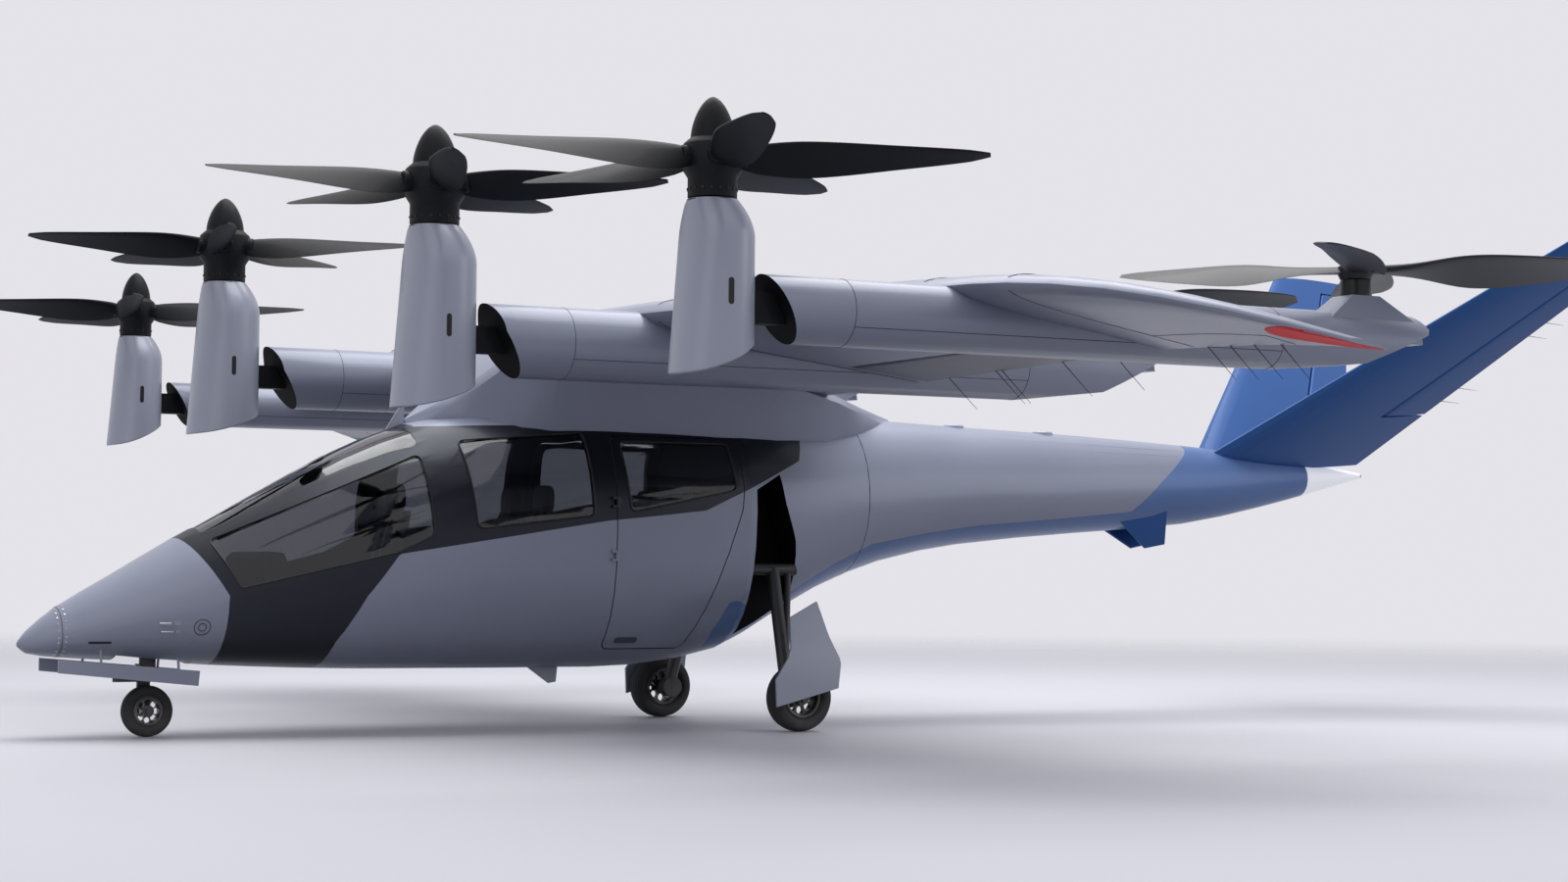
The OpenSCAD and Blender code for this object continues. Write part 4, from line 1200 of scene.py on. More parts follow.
SKIN = FuselageSkin()
WING = WingShape()
PROP = BladeShape(((0.08, 110, 52, 70), (0.16, 190, 50, 60), (0.36, 270, 40, 38), (0.68, 225, 27, 24),
                   (0.92, 140, 20, 15), (1.0, 50, 18, 8)))
ROTOR = BladeShape(((0.05, 130, 10, 50), (0.2, 200, 14, 44), (0.45, 400, 24, 34), (0.72, 440, 18, 26),
                    (0.93, 340, 12, 18), (1.0, 170, 10, 10)), radius=1500.0, count=4, phase=45.0)
COCKPIT_PANE: list[Flat] = [(1230, 1372), (2700, 2010), (2735, 1430), (2470, 1300), (1390, 1040)]
CABIN_PANE: list[Flat] = [(2985, 2110), (3945, 2195), (3965, 1580), (3055, 1475)]
DOOR_PANE: list[Flat] = [(4210, 2135), (5125, 2140), (5160, 1790), (4260, 1610)]


def stadium(width: float, height: float, steps: int = 8) -> list[Flat]:
    """Outline of an upright slot with round ends, around its middle.

    Args:
        width: its width.
        height: its height over the ends.
        steps: edges of each end.

    Returns:
        The outline's points.
    """
    radius = width / 2
    straight = height / 2 - radius
    outline: list[Flat] = []
    for lift, start in ((straight, 0.0), (-straight, math.pi)):
        angles = [start + math.pi * i / steps for i in range(steps + 1)]
        outline += [(radius * math.cos(a), lift + radius * math.sin(a)) for a in angles]
    return outline


def rounded(corners: Sequence[Flat], passes: int = 3, cut: float = 0.2) -> list[Flat]:
    """A closed outline with its corners cut off again and again until they are round.

    Args:
        corners: its corners.
        passes: how often they are cut.
        cut: share of each edge that a cut takes.

    Returns:
        The outline's points.
    """
    outline = list(corners)
    for _ in range(passes):
        trimmed: list[Flat] = []
        for (x0, y0), (x1, y1) in zip(outline, outline[1:] + outline[:1]):
            trimmed.append((x0 + (x1 - x0) * cut, y0 + (y1 - y0) * cut))
            trimmed.append((x1 - (x1 - x0) * cut, y1 - (y1 - y0) * cut))
        outline = trimmed
    return outline


def filleted(corners: Sequence[Flat], radius: float, steps: int = 6) -> list[Flat]:
    """A closed outline with round corners of one radius.

    Args:
        corners: its corners.
        radius: their radius.
        steps: edges of each round.

    Returns:
        The outline's points.
    """
    outline: list[Flat] = []
    for index, corner in enumerate(corners):
        here = Vector(corner)
        ways = [(Vector(corners[(index + step) % len(corners)]) - here).normalized() for step in (-1, 1)]
        reach = radius / math.tan(ways[0].angle(ways[1]) / 2)
        ends = [here + way * reach for way in ways]
        outline += [tuple(ends[0].lerp(here, t).lerp(here.lerp(ends[1], t), t))
                    for t in (i / steps for i in range(steps + 1))]
    return outline


class Forms:
    """Meshes that several assemblies share."""

    @staticmethod
    def laid_on(node: str, points: Sequence[Vector], proud: float = 0.0) -> list[Vector]:
        """Points moved onto the surface of a CAD node.

        Args:
            node: the CAD node.
            points: the points.
            proud: distance above the surface in millimetres.

        Returns:
            The moved points.
        """
        source = Workshop.frame["nodes"][node].data
        tree = BVHTree.FromPolygons([v.co for v in source.vertices], [p.vertices for p in source.polygons])
        found = [tree.find_nearest(p) for p in points]
        return [place + normal * (proud * MM) for place, normal, _, _ in found]

    @staticmethod
    def slabs(name: str, plates: Sequence[tuple[Sequence[Vector], Vector]], finish: Finish, body: str,
              bevel: float = 0.0) -> bpy.types.Object:
        """Flat or bent plates as one piece.

        Args:
            name: the piece's name.
            plates: the outer outline of each plate and the way from it to its inner face.
            finish: the finish.
            body: the CAD body that carries it.
            bevel: width of the softened edges in metres, or 0.

        Returns:
            The piece.
        """
        points: list[Vector] = []
        faces: list[list[int]] = []
        for outline, push in plates:
            first, count = len(points), len(outline)
            points += list(outline) + [p + push for p in outline]
            faces.append([first + i for i in range(count)])
            faces.append([first + count + i for i in reversed(range(count))])
            faces += [[first + i, first + (i + 1) % count, first + count + (i + 1) % count, first + count + i]
                      for i in range(count)]
        piece = Workshop.shape(name, points, faces)
        if bevel > 0.0:
            Workshop.soften(piece, bevel)
            Workshop.settle(piece)
        return Workshop.keep(piece, finish, body)

    @staticmethod
    def lathe(name: str, profiles: Sequence[tuple[Sequence[Flat], Vector, Vector]], finish: Finish, body: str,
              *nodes: str, steps: int = 96, angle: float = 35.0) -> bpy.types.Object:
        """Closed profiles turned about an axis, as one piece.

        Args:
            name: the piece's name.
            profiles: radius and place along the axis of each profile's points, with its centre and axis.
            finish: the finish.
            body: the CAD body that carries it.
            nodes: CAD nodes that it stands for.
            steps: points round the axis.
            angle: edges sharper than this stay sharp.

        Returns:
            The piece.
        """
        points: list[Vector] = []
        faces: list[list[int]] = []
        for profile, center, axis in profiles:
            along = axis.normalized()
            across = along.orthogonal().normalized()
            third = along.cross(across)
            first, count = len(points), len(profile)
            for theta in turns(steps):
                way = across * math.cos(theta) + third * math.sin(theta)
                points += [center + way * (r * MM) + along * (h * MM) for r, h in profile]
            faces += bridged(steps, count, first, True)
        return Workshop.keep(Workshop.shape(name, points, faces), finish, body, *nodes, angle=angle)


@dataclass
class Airframe:
    """Fixed skins: fuselage, wing and tail, and the doors and flaps that follow them."""

    smooth: float = 38.0
    skin_depth: float = 0.014
    joints: Flat = (260.0, 6430.0)
    screws: Flat = (238.0, 284.0)
    gasket_r: float = 0.007
    pane_corner: float = 45.0
    door_pane_corner: float = 50.0
    slot: tuple[float, ...] = (500.0, 664.0, 16.0, 150.0)
    ports: tuple[tuple[float, ...], ...] = ((940.0, 800.0, 26.0, 130.0), (955.0, 742.0, 20.0, 110.0))
    probes: tuple[Flat, ...] = ((950.0, 800.0), (965.0, 742.0))
    hatch: Flat = (1150.0, 772.0)
    hatch_radii: Flat = (54.0, 26.0)
    handle: Flat = (4330.0, 668.0)
    rib_lines: Point = (2440.0, 5350.0, 6080.0)
    outer_flap: Flat = (6080.0, 6980.0)
    outer_hinge: float = 0.76
    wing_wicks: tuple[float, ...] = (6200.0, 6420.0, 6640.0, 6860.0)
    flap_wicks: tuple[float, ...] = (2900.0, 3600.0, 3680.0, 4500.0, 5150.0)
    fin_wicks: tuple[float, ...] = (0.30, 0.36, 0.60, 0.66)
    wick_sides: int = 6
    wick_tip: float = 0.4
    aerials: Flat = (7580.0, 8460.0)
    tail_cap: float = 11170.0

    def build(self) -> None:
        """Dresses the shells, then adds seams, probes and lights."""
        self.shells()
        self.seams()
        self.nose_fittings()
        self.door_handles()
        self.wing_fittings()
        self.tail_fittings()

    def inside(self, center: Vector, _normal: Vector) -> bool:
        """Whether a face lies behind the outer skin."""
        return SKIN.depth(center) > self.skin_depth

    def shells(self) -> None:
        """Dresses the CAD shells."""
        for node in ("radome", "nose_shell"):
            Workshop.skin(node, Palette.silver, self.smooth)
        Workshop.skin("cabin_shell", Palette.livery, self.smooth, others=((Palette.cabin, self.inside),))
        # Faces inside the tail boom's skin, round the gear bay, get near black painted shade.
        Workshop.skin("tail_boom", Palette.livery, self.smooth, others=((Palette.hollow_shade, self.inside),))
        for node in ("left_door", "right_door"):
            Workshop.skin(node, Palette.livery, self.smooth, others=((Palette.cabin, self.inside),))
        for node in ("wing_fairing", "wing"):
            Workshop.skin(node, Palette.silver, self.smooth)
        # The flaps' dark grey is painted shade, standing in for the shade on their undersides.
        for node in ("left_flap", "right_flap"):
            Workshop.skin(node, Palette.shade, self.smooth)
        for node in ("fins", "left_ruddervator", "right_ruddervator", "ventral_fins"):
            Workshop.skin(node, Palette.blue, self.smooth)
        Workshop.skin("antennas", Palette.pale, self.smooth)
        Workshop.skin("door_hinges", Palette.livery)
        Workshop.skin("battery_pack", Palette.battery, bevel=0.01)
        for node in ("windscreen", "cockpit_glass", "cabin_glass", "left_door_glass", "right_door_glass"):
            Workshop.skin(node, Palette.glass, self.smooth)

    def seams(self) -> None:
        """Panel joints of the fuselage, the gaskets round its panes and the radome's screws."""
        joints = [[SKIN.point(station, 6.0 * i) for i in range(61)] for station in self.joints]
        Workshop.bead("skin_joints", joints, SEAM_R, Palette.seam, "airframe")
        gaskets = [SKIN.line(filleted(pane, self.pane_corner), side, -1.0, closed=True)
                   for pane in (COCKPIT_PANE, CABIN_PANE) for side in SIDES]
        Workshop.bead("pane_gaskets", gaskets, self.gasket_r, Palette.black, "airframe")
        for side, word in SIDE_NAMES.items():
            path = SKIN.line(filleted(DOOR_PANE, self.door_pane_corner), side, -1.0, closed=True)
            Workshop.bead(word + "_door_gasket", [path], self.gasket_r, Palette.black, word + "_door")
        ring = []
        for station in self.screws:
            for angle in range(0, 360, 15):
                foot = SKIN.point(station, angle)
                ring.append((foot, SKIN.point(station, angle, 100.0) - foot))
        Workshop.studs("radome_screws", ring, 0.006, 0.0015, Palette.steel, "airframe")

    @staticmethod
    def plate(row: Sequence[float], side: int, proud: float, depth: float) -> tuple[list[Vector], Vector]:
        """A plate with round ends that lies along the skin.

        Args:
            row: station and height of its middle, its width and its length.
            side: 1 for the left side, -1 for the right.
            proud: distance of its face above the skin in millimetres.
            depth: its thickness in metres.

        Returns:
            Its outline and the way to its inner face.
        """
        station, z, width, length = row
        outline = [SKIN.at_height(station + u, z + w, side, proud) for w, u in stadium(width, length)]
        return outline, Vector((0.0, -side * depth, 0.0))

    def nose_fittings(self) -> None:
        """Inlet slots, ports, hatches and air data probes on the nose."""
        depth = 0.02
        slots = [self.plate(self.slot, side, 1.5, depth) for side in SIDES]
        ports = [self.plate(row, side, 2.0, depth) for side in SIDES for row in self.ports]
        middle, height = self.hatch
        circles = [[SKIN.at_height(middle + r * math.cos(a), height + r * math.sin(a), side)
                    for a in turns(40, True)] for side in SIDES for r in self.hatch_radii]
        tubes = []
        for side in SIDES:
            out = Vector((0.0, side * 0.034, 0.0))
            for station, z in self.probes:
                foot = SKIN.at_height(station, z, side)
                tip = foot + out
                tubes.append([foot, foot + out * 0.6, tip + FORWARD * 0.018, tip + FORWARD * 0.10])
        Forms.slabs("nose_slots", slots, Palette.black, "airframe")
        Forms.slabs("nose_ports", ports, Palette.pale, "airframe")
        Workshop.bead("nose_hatches", circles, 0.0025, Palette.seam, "airframe")
        Workshop.bead("air_data_probes", tubes, 0.006, Palette.steel, "airframe", sides=12)

    def door_handles(self) -> None:
        """The doors' flush handles, each on a plate."""
        for side, word in SIDE_NAMES.items():
            plates = [self.plate((*self.handle, *size), side, proud, 0.012)
                      for size, proud in (((44.0, 190.0), 2.0), ((20.0, 150.0), 5.0))]
            Forms.slabs(word + "_door_handle", plates, Palette.shade, word + "_door")

    def wing_fittings(self) -> None:
        """Tip lights, panel lines, the outer flap lines and the static wicks."""
        lines = []
        first, last = self.outer_flap
        for side in SIDES:
            for face in SIDES:
                for y in self.rib_lines:
                    lines.append([WING.point(y, 0.02 + 0.96 * i / 40, face, side) for i in range(41)])
                hinge = [WING.point(first + (last - first) * i / 20, self.outer_hinge, face, side)
                         for i in range(21)]
                end = [WING.point(last, self.outer_hinge + 0.22 * i / 8, face, side) for i in range(1, 9)]
                lines.append(hinge + end)
        Workshop.bead("wing_panel_lines", lines, SEAM_R, Palette.seam, "airframe")
        self.tip_lens(1, Palette.red_lens, 0.0)
        self.tip_lens(-1, Palette.green_lens, 0.6)
        aft = Vector((-0.74, 0.0, -0.67))
        for side, word in SIDE_NAMES.items():
            for label, places, length, body in (("_wing_wicks", self.wing_wicks, 0.30, "airframe"),
                                                ("_flap_wicks", self.flap_wicks, 0.34, word + "_flap")):
                feet = [(WING.point(y, 0.985, 1, side), aft) for y in places]
                Workshop.studs(word + label, feet, 0.004, length, Palette.black, body, self.wick_sides,
                               self.wick_tip)

    def tip_lens(self, side: int, finish: Finish, start: float) -> None:
        """A coloured wedge of lens on the lower front of one wing tip.

        Args:
            side: 1 for the left wing, -1 for the right.
            finish: the lens.
            start: share of the wedge's length at which it begins.
        """
        front = Table(((0.0, 7075, 5120), (0.12, 7150, 5025), (0.3, 7310, 4985), (0.5, 7395, 5102),
                       (0.7, 7440, 5200), (1.0, 7490, 5345)))
        rear = Table(((0.0, 7070, 5150), (0.12, 7085, 5225), (0.3, 7150, 5310), (0.5, 7250, 5420),
                      (0.7, 7350, 5510), (1.0, 7492, 5585)))
        columns, count = 30, 13
        flat = []
        for i in range(columns + 1):
            along = start + (1 - start) * i / columns
            (y0, s0), (y1, s1) = ((table.curve(1, along), table.curve(2, along)) for table in (front, rear))
            for k in range(count):
                y, station = y0 + (y1 - y0) * k / (count - 1), s0 + (s1 - s0) * k / (count - 1)
                lead, trail = WING.curve(1, y), WING.curve(2, y)
                share = min(max((station - lead) / (trail - lead), 0.002), 0.99)
                flat.append(WING.point(y, share, -1, side))
        points = Forms.laid_on("wing", flat, 3.0)
        inner = Forms.laid_on("wing", flat, -4.0)
        shift = len(points)
        faces = [[i * count + k, (i + 1) * count + k, (i + 1) * count + k + 1, i * count + k + 1]
                 for i in range(columns) for k in range(count - 1)]
        faces += [[v + shift for v in reversed(face)] for face in faces]
        rim = ([i * count for i in range(columns + 1)] + [columns * count + k for k in range(1, count)]
               + [i * count + count - 1 for i in range(columns - 1, -1, -1)] + list(range(count - 2, 0, -1)))
        faces += [[a, b, b + shift, a + shift] for a, b in zip(rim, rim[1:] + rim[:1])]
        piece = Workshop.shape(SIDE_NAMES[side] + "_tip_lens", points + inner, faces)
        Workshop.keep(piece, finish, "airframe", angle=60.0)

    def tail_fittings(self) -> None:
        """Tail lamp and cap, low aerials on the crown and the wicks of the ruddervators."""
        lamp = [(0, -30), (17, -30), (17, 0), (13, 14), (6, 20), (0, 22)]
        Forms.lathe("tail_lamp", [(lamp, at(11878, 0, 2070), -FORWARD)], Palette.lamp, "airframe", steps=24)
        # The glowing white cap over the tail end is a painted highlight, not a lamp; the lamp is the small
        # lens.
        count, rows = 48, 35
        cap = [SKIN.point(self.tail_cap + 20.0 * k, 7.5 * i, 2.0)
               for k in range(rows + 1) for i in range(count)]
        ends = [list(range(count)), [rows * count + i for i in range(count)]]
        glow = Workshop.shape("tail_light_cap", cap, bridged(rows, count) + ends)
        Workshop.keep(glow, Palette.tail_cap_highlight, "airframe")
        puck = [(0, -20), (88, -20), (88, 4), (78, 13), (40, 18), (0, 19)]
        pucks = [(puck, SKIN.point(station, 90.0), UPWARD) for station in self.aerials]
        Forms.lathe("crown_aerials", pucks, Palette.pale, "airframe", steps=48)
        rise = Vector((0.0, 1.900, 1.855))
        aft = Vector((-1.0, 0.0, -0.06))
        for side, word in SIDE_NAMES.items():
            wicks = []
            for share in self.fin_wicks:
                foot = at(11775.0 + 1610.0 * share, 60, 2165) + rise * share
                wicks.append((Vector((foot.x, side * foot.y, foot.z)), aft))
            body = word + "_ruddervator"
            Workshop.studs(word + "_fin_wicks", wicks, 0.003, 0.22, Palette.black, body, self.wick_sides,
                           self.wick_tip)


@dataclass
class Cabin:
    """Floor, panel, displays and padded seats."""

    half: float = 215.0
    floor: float = 660.0
    screen_top: Flat = (1826.0, 1128.0)
    screen_low: Flat = (1812.0, 1012.0)
    screen_half: float = 100.0
    screens: Point = (-250.0, 0.0, 250.0)
    slices: int = 56
    seats: tuple[tuple[str, tuple[Flat, ...]], ...] = (
        ("pilot_seat", ((2600.0, 0.0),)),
        ("passenger_seats", tuple((s, y) for s in (3650.0, 4800.0) for y in (-300.0, 300.0))))

    def build(self) -> None:
        """Dresses the floor and the panel and builds the seats."""
        Workshop.skin("cabin_floor", Palette.carpet)
        Workshop.skin("instrument_panel", Palette.cabin, bevel=0.012)
        self.displays()
        self.stick()
        for node, places in self.seats:
            self.seat_row(node, places)

    def displays(self) -> None:
        """Three screens in bezels on the panel's slanted face."""
        for name, finish, grow, lift in (("display_faces", Palette.screen, 0.0, 7.0),
                                         ("display_bezels", Palette.black, 10.0, 4.0)):
            half = self.screen_half + grow
            plates = []
            for y in self.screens:
                corners = ((self.screen_top, -half), (self.screen_top, half), (self.screen_low, half),
                           (self.screen_low, -half))
                outline = [at(s + lift, y + across, z) for (s, z), across in corners]
                plates.append((outline, FORWARD * 0.02))
            Forms.slabs(name, plates, finish, "airframe", 0.002)

    def stick(self) -> None:
        """A control stick ahead of the pilot's seat."""
        grip = [(0, 0), (15, 0), (13, 50), (17, 60), (19, 110), (14, 140), (0, 146)]
        forms = [(grip, at(2060.0, 0.0, self.floor + 150), Vector((-0.15, 0.0, 1.0)))]
        Forms.lathe("control_grip", forms, Palette.leather, "airframe", steps=24)
        stalk = [at(s, 0.0, self.floor + lift) for s, lift in ((2010.0, -5), (2030.0, 60), (2060.0, 152))]
        Workshop.bead("control_stalk", [stalk], 0.012, Palette.steel, "airframe", 12)

    def pillow(self, corners: Sequence[Flat], y: float, half: float, channels: int) -> Mesh:
        """A crowned cushion with sewn channels.

        Args:
            corners: its side outline as stations and heights.
            y: its middle.
            half: its half width.
            channels: number of sewn channels across it.

        Returns:
            Its points and faces.
        """
        outline = rounded(corners)
        mid = (sum(p[0] for p in outline) / len(outline), sum(p[1] for p in outline) / len(outline))
        points: list[Vector] = []
        for k in range(self.slices + 1):
            t = -math.cos(math.pi * k / self.slices)
            edge = max(0.0, 1 - abs(t) ** 7) ** (1 / 3.5)
            sew = 1.0 - 0.035 * (1 - abs(math.sin(math.pi * (t + 1) / 2 * channels))) ** 4
            crown = 0.93 + 0.05 * (1 - t * t)
            swell = (0.55 + 0.45 * edge) * sew * crown if 0 < k < self.slices else 0.02
            points += [at(mid[0] + (s - mid[0]) * swell, y + t * (half - 6), mid[1] + (z - mid[1]) * swell)
                       for s, z in outline]
        count = len(outline)
        ends = [list(range(count)), [self.slices * count + i for i in range(count)]]
        return points, bridged(self.slices, count) + ends

    def seat_row(self, node: str, places: Sequence[Flat]) -> None:
        """Cushions, shells and belts of one seat node.

        Args:
            node: the CAD node.
            places: station and side of each of its seats.
        """
        points: list[Vector] = []
        faces: list[list[int]] = []
        frames = []
        belts = []
        buckles = []
        z = self.floor
        for s, y in places:
            base = [(s - 520, z + 215), (s - 515, z + 350), (s - 5, z + 335), (s + 30, z + 215)]
            back = [(s - 40, z + 290), (s + 85, z + 955), (s + 165, z + 945), (s + 70, z + 250)]
            head = [(s + 95, z + 930), (s + 105, z + 1155), (s + 185, z + 1145), (s + 180, z + 930)]
            for corners, half, channels in ((base, self.half, 3), (back, self.half, 3),
                                            (head, 0.6 * self.half, 1)):
                more, sides = self.pillow(corners, y, half, channels)
                faces += [[v + len(points) for v in side] for side in sides]
                points += more
            foot = [(s - 400, z), (s - 430, z + 222), (s - 60, z + 222), (s - 80, z)]
            frames.append(([at(a, y - 100, b) for a, b in foot], ACROSS * 0.2))
            shell = [(s + 74, z + 225), (s + 172, z + 948), (s + 188, z + 946), (s + 88, z + 222)]
            frames.append(([at(a, y - self.half + 20, b) for a, b in shell],
                           ACROSS * ((2 * self.half - 40) * MM)))
            strap = [(s + 92, z + 960), (s + 30, z + 760), (s - 28, z + 520), (s - 70, z + 372)]
            for side in SIDES:
                belts += [([at(a0, y + side * (95 - 4 * i), b0), at(a0, y + side * (50 - 4 * i), b0),
                            at(a1, y + side * (46 - 4 * i), b1), at(a1, y + side * (91 - 4 * i), b1)],
                           Vector((-0.003, 0.0, 0.002)))
                          for i, ((a0, b0), (a1, b1)) in enumerate(zip(strap, strap[1:]))]
            buckle = [at(s - 60, y - 40, z + 366), at(s - 60, y + 40, z + 366), at(s - 130, y + 40, z + 372),
                      at(s - 130, y - 40, z + 372)]
            buckles.append((buckle, UPWARD * 0.016))
        pads = Workshop.shape(node + "_pads", points, faces)
        Workshop.keep(pads, Palette.leather, "airframe", node, angle=70.0)
        Forms.slabs(node + "_shells", frames, Palette.cabin, "airframe", 0.006)
        Forms.slabs(node + "_belts", belts, Palette.cloth, "airframe")
        Forms.slabs(node + "_buckles", buckles, Palette.steel, "airframe", 0.003)


@dataclass(frozen=True)
class TiltUnit:
    """Places of one pair of tilting nacelles and their booms, in millimetres."""

    name: str
    y: float
    station: float
    axis_z: float
    boom_r: float
    nacelle_r: float
    joint_z: float
    blade_z: float
    spinner_z: float
    collar_r: float
    chin_z: float
    heel_z: float
    boom_front: float
    boom_end: float
    rotor_station: float

    @property
    def post_z(self) -> float:
        """Height of the rotor pedestal's top."""
        return self.axis_z + self.boom_r + 105.0

    @property
    def boom_joints(self) -> Flat:
        """Stations of the joints round a boom."""
        return self.boom_front + 330.0, self.boom_end - 1200.0

    def on_boom(self, station: float, side: int, angle: float) -> Vector:
        """A point of a boom's surface at an angle in radians from its left side upwards."""
        return at(station, side * self.y + self.boom_r * math.cos(angle),
                  self.axis_z + self.boom_r * math.sin(angle))

    def in_mouth(self, center: Vector, normal: Vector) -> bool:
        """Whether a face looks forward out of a boom's cut end."""
        return normal.x > 0.35 and station_of(center) < self.boom_front + 240.0


@dataclass
class LiftUnit:
    """One tilting nacelle with its propeller, and the rear rotor on the same boom."""

    unit: TiltUnit
    side: int
    slot_half: float = 67.0
    slot_reach: float = 100.0
    shoulder: float = 0.9
    shoulder_curve: float = 1.8
    foot_curve: float = 1.6
    fullness: float = 2.2
    lip: float = 8.0
    bore_r: float = 45.1
    bore_depth: float = 90.0
    pin_r: float = 35.0
    around: int = 64
    rows: int = 36

    @property
    def name(self) -> str:
        """The pair and the side."""
        return f"{self.unit.name}_{SIDE_NAMES[self.side]}"

    @property
    def y(self) -> float:
        """Its place across, in millimetres."""
        return self.side * self.unit.y

    @property
    def axis(self) -> Vector:
        """The middle of its tilt axis."""
        return at(self.unit.station, self.y, self.unit.axis_z)

    def build(self) -> None:
        """Makes the nacelle, the propeller, the rotor and their fittings."""
        self.shell()
        self.propeller()
        self.rotor()
        self.fittings()

    def in_slot(self, center: Vector) -> bool:
        """Whether a face of the nacelle lies in the slot round its arm.

        Args:
            center: the face's middle.

        Returns:
            True in the slot.
        """
        across = abs(center.y / MM - self.y)
        behind = station_of(center) - self.unit.station
        low = center.z / MM < self.unit.axis_z + self.slot_reach + 1.0
        within = across < self.slot_half and math.hypot(behind, across) < self.unit.nacelle_r - 6.0
        return low and within and behind > -self.slot_reach - 2.0

    def half_depth(self, z: float, front: bool) -> float:
        """Half the depth of the nacelle at a height.

        Args:
            z: height above the tilt axis.
            front: whether it is the front, which tapers as well.

        Returns:
            The half depth in millimetres.
        """
        unit, r = self.unit, self.unit.nacelle_r
        top, chin = unit.joint_z - unit.axis_z, unit.chin_z - unit.axis_z
        share = max(0.0, 1.0 - (top - z) / (self.shoulder * r))
        full = r - (r - unit.collar_r) * share ** self.shoulder_curve
        if not front:
            return full
        return min(full, r + (unit.collar_r + 6.0 - r) * (z - chin) / (top - chin))

    def bottle(self) -> Mesh:
        """A rounded bottle with a curved, slanted foot and a bore in its top.

        Returns:
            Its points and faces.
        """
        unit, axis = self.unit, self.axis
        top, chin, heel = (z - unit.axis_z for z in (unit.joint_z, unit.chin_z, unit.heel_z))
        flat = 2.0 / self.fullness
        points: list[Vector] = []
        for k in range(self.rows + 1):
            draw = 1.0 if k else 1.0 - self.lip / unit.nacelle_r
            for turn in turns(self.around):
                u, v = (math.copysign(abs(f(turn)) ** flat, f(turn)) for f in (math.cos, math.sin))
                z = foot = chin + (heel - chin) * ((1.0 - u) / 2.0) ** self.foot_curve
                if k:
                    z = foot + self.lip + (top - foot - self.lip) * (k - 1) / (self.rows - 1)
                x = u * draw * self.half_depth(z, u > 0.0)
                y = v * draw * self.half_depth(z, False)
                points.append(axis + Vector((x, y, z)) * MM)
        for z in (top, top - self.bore_depth):
            points += [axis + Vector((self.bore_r * math.cos(a), self.bore_r * math.sin(a), z)) * MM
                       for a in turns(self.around)]
        count, half = self.around, self.around // 2
        faces = bridged(self.rows + 2, count)
        faces += [[i, i + 1, (count - i - 1) % count, (count - i) % count] for i in range(1, half - 1)]
        faces += [[0, 1, count - 1], [half - 1, half, half + 1]]
        faces.append([(self.rows + 2) * count + i for i in range(count)])
        return points, faces

    def shell(self) -> None:
        """The nacelle's skin, forked round its arm, and its tilt pin."""
        body = self.name + "_nacelle"
        piece = Workshop.shape(body + "_skin", *self.bottle())
        inner, outer, half = self.slot_reach, 4.0 * self.unit.nacelle_r, self.slot_half - 1
        corners = [self.axis + Vector((x, y, z)) * MM for x in (-outer, inner) for y in (-half, half)
                   for z in (-outer, inner)]
        sides = [(0, 1, 3, 2), (4, 5, 7, 6), (0, 1, 5, 4), (2, 3, 7, 6), (0, 2, 6, 4), (1, 3, 7, 5)]
        cutter = Workshop.shape(self.name + "_slot", corners, sides)
        cut = piece.modifiers.new("slot", "BOOLEAN")
        cut.operation = "DIFFERENCE"
        cut.solver = "EXACT"
        cut.object = cutter
        Workshop.settle(piece)
        bpy.data.objects.remove(cutter)
        Workshop.keep(piece, Palette.pale, body, body, angle=32.0)
        # Faces in the slot round the arm get near black painted shade.
        piece.data.materials.append(Palette.material(Palette.hollow_shade))
        for face in piece.data.polygons:
            face.material_index = int(self.in_slot(face.center))
        reach = 0.85 * self.unit.nacelle_r
        pin = [(0, -reach), (self.pin_r, -reach), (self.pin_r, reach), (0, reach)]
        Forms.lathe(self.name + "_tilt_pin", [(pin, self.axis, ACROSS)], Palette.steel, body, steps=32)

    def propeller(self) -> None:
        """Hub, spinner, blade cuffs and blades of the propeller."""
        unit, body, r = self.unit, self.name + "_prop", self.unit.collar_r
        hub, tip = unit.blade_z - unit.joint_z, unit.spinner_z - unit.joint_z
        base = 1.45 * hub
        foot = at(unit.station, self.y, unit.joint_z)
        middle = foot + UPWARD * (hub * MM)
        profile = [(0, -85), (45, -85), (45, 8), (r - 3, 8), (r, 11), (r, 0.5 * hub), (1.2 * r, 0.68 * hub),
                   (1.2 * r, 1.28 * hub), (1.16 * r, 1.32 * hub)]
        profile += [(0.9 * r * (1.0 - h ** 1.6) ** 0.58, base + (tip - base) * h)
                    for h in (math.sin(math.radians(4.5 * i)) for i in range(20))] + [(0, tip)]
        forms = [(profile, foot, UPWARD)]
        cuff = [(0, 0.5 * r), (0.4 * r, 0.5 * r), (0.4 * r, 1.38 * r), (0.34 * r, 1.45 * r), (0, 1.45 * r)]
        forms += [(cuff, middle, Vector((math.cos(a), self.side * math.sin(a), 0.0)))
                  for a in turns(PROP.count)]
        Forms.lathe(self.name + "_hub", forms, Palette.carbon, body, steps=48)
        blades = Workshop.shape(self.name + "_blades", *PROP.mesh(middle, self.side))
        Workshop.keep(blades, Palette.carbon, body, body, angle=55.0)

    def rotor(self) -> None:
        """Hub and blades of the rear rotor."""
        body = self.name + "_rotor"
        foot = at(self.unit.rotor_station, self.y, self.unit.post_z + 100.4)
        profile = [(0, -70), (45, -70), (45, 8), (100, 8), (115, 40), (115, 90), (80, 118), (0, 124)]
        Forms.lathe(body + "_hub", [(profile, foot, UPWARD)], Palette.black, body, steps=48)
        blades = Workshop.shape(body + "_blades", *ROTOR.mesh(foot + UPWARD * 0.062, self.side))
        Workshop.keep(blades, Palette.blade, body, body, angle=55.0)

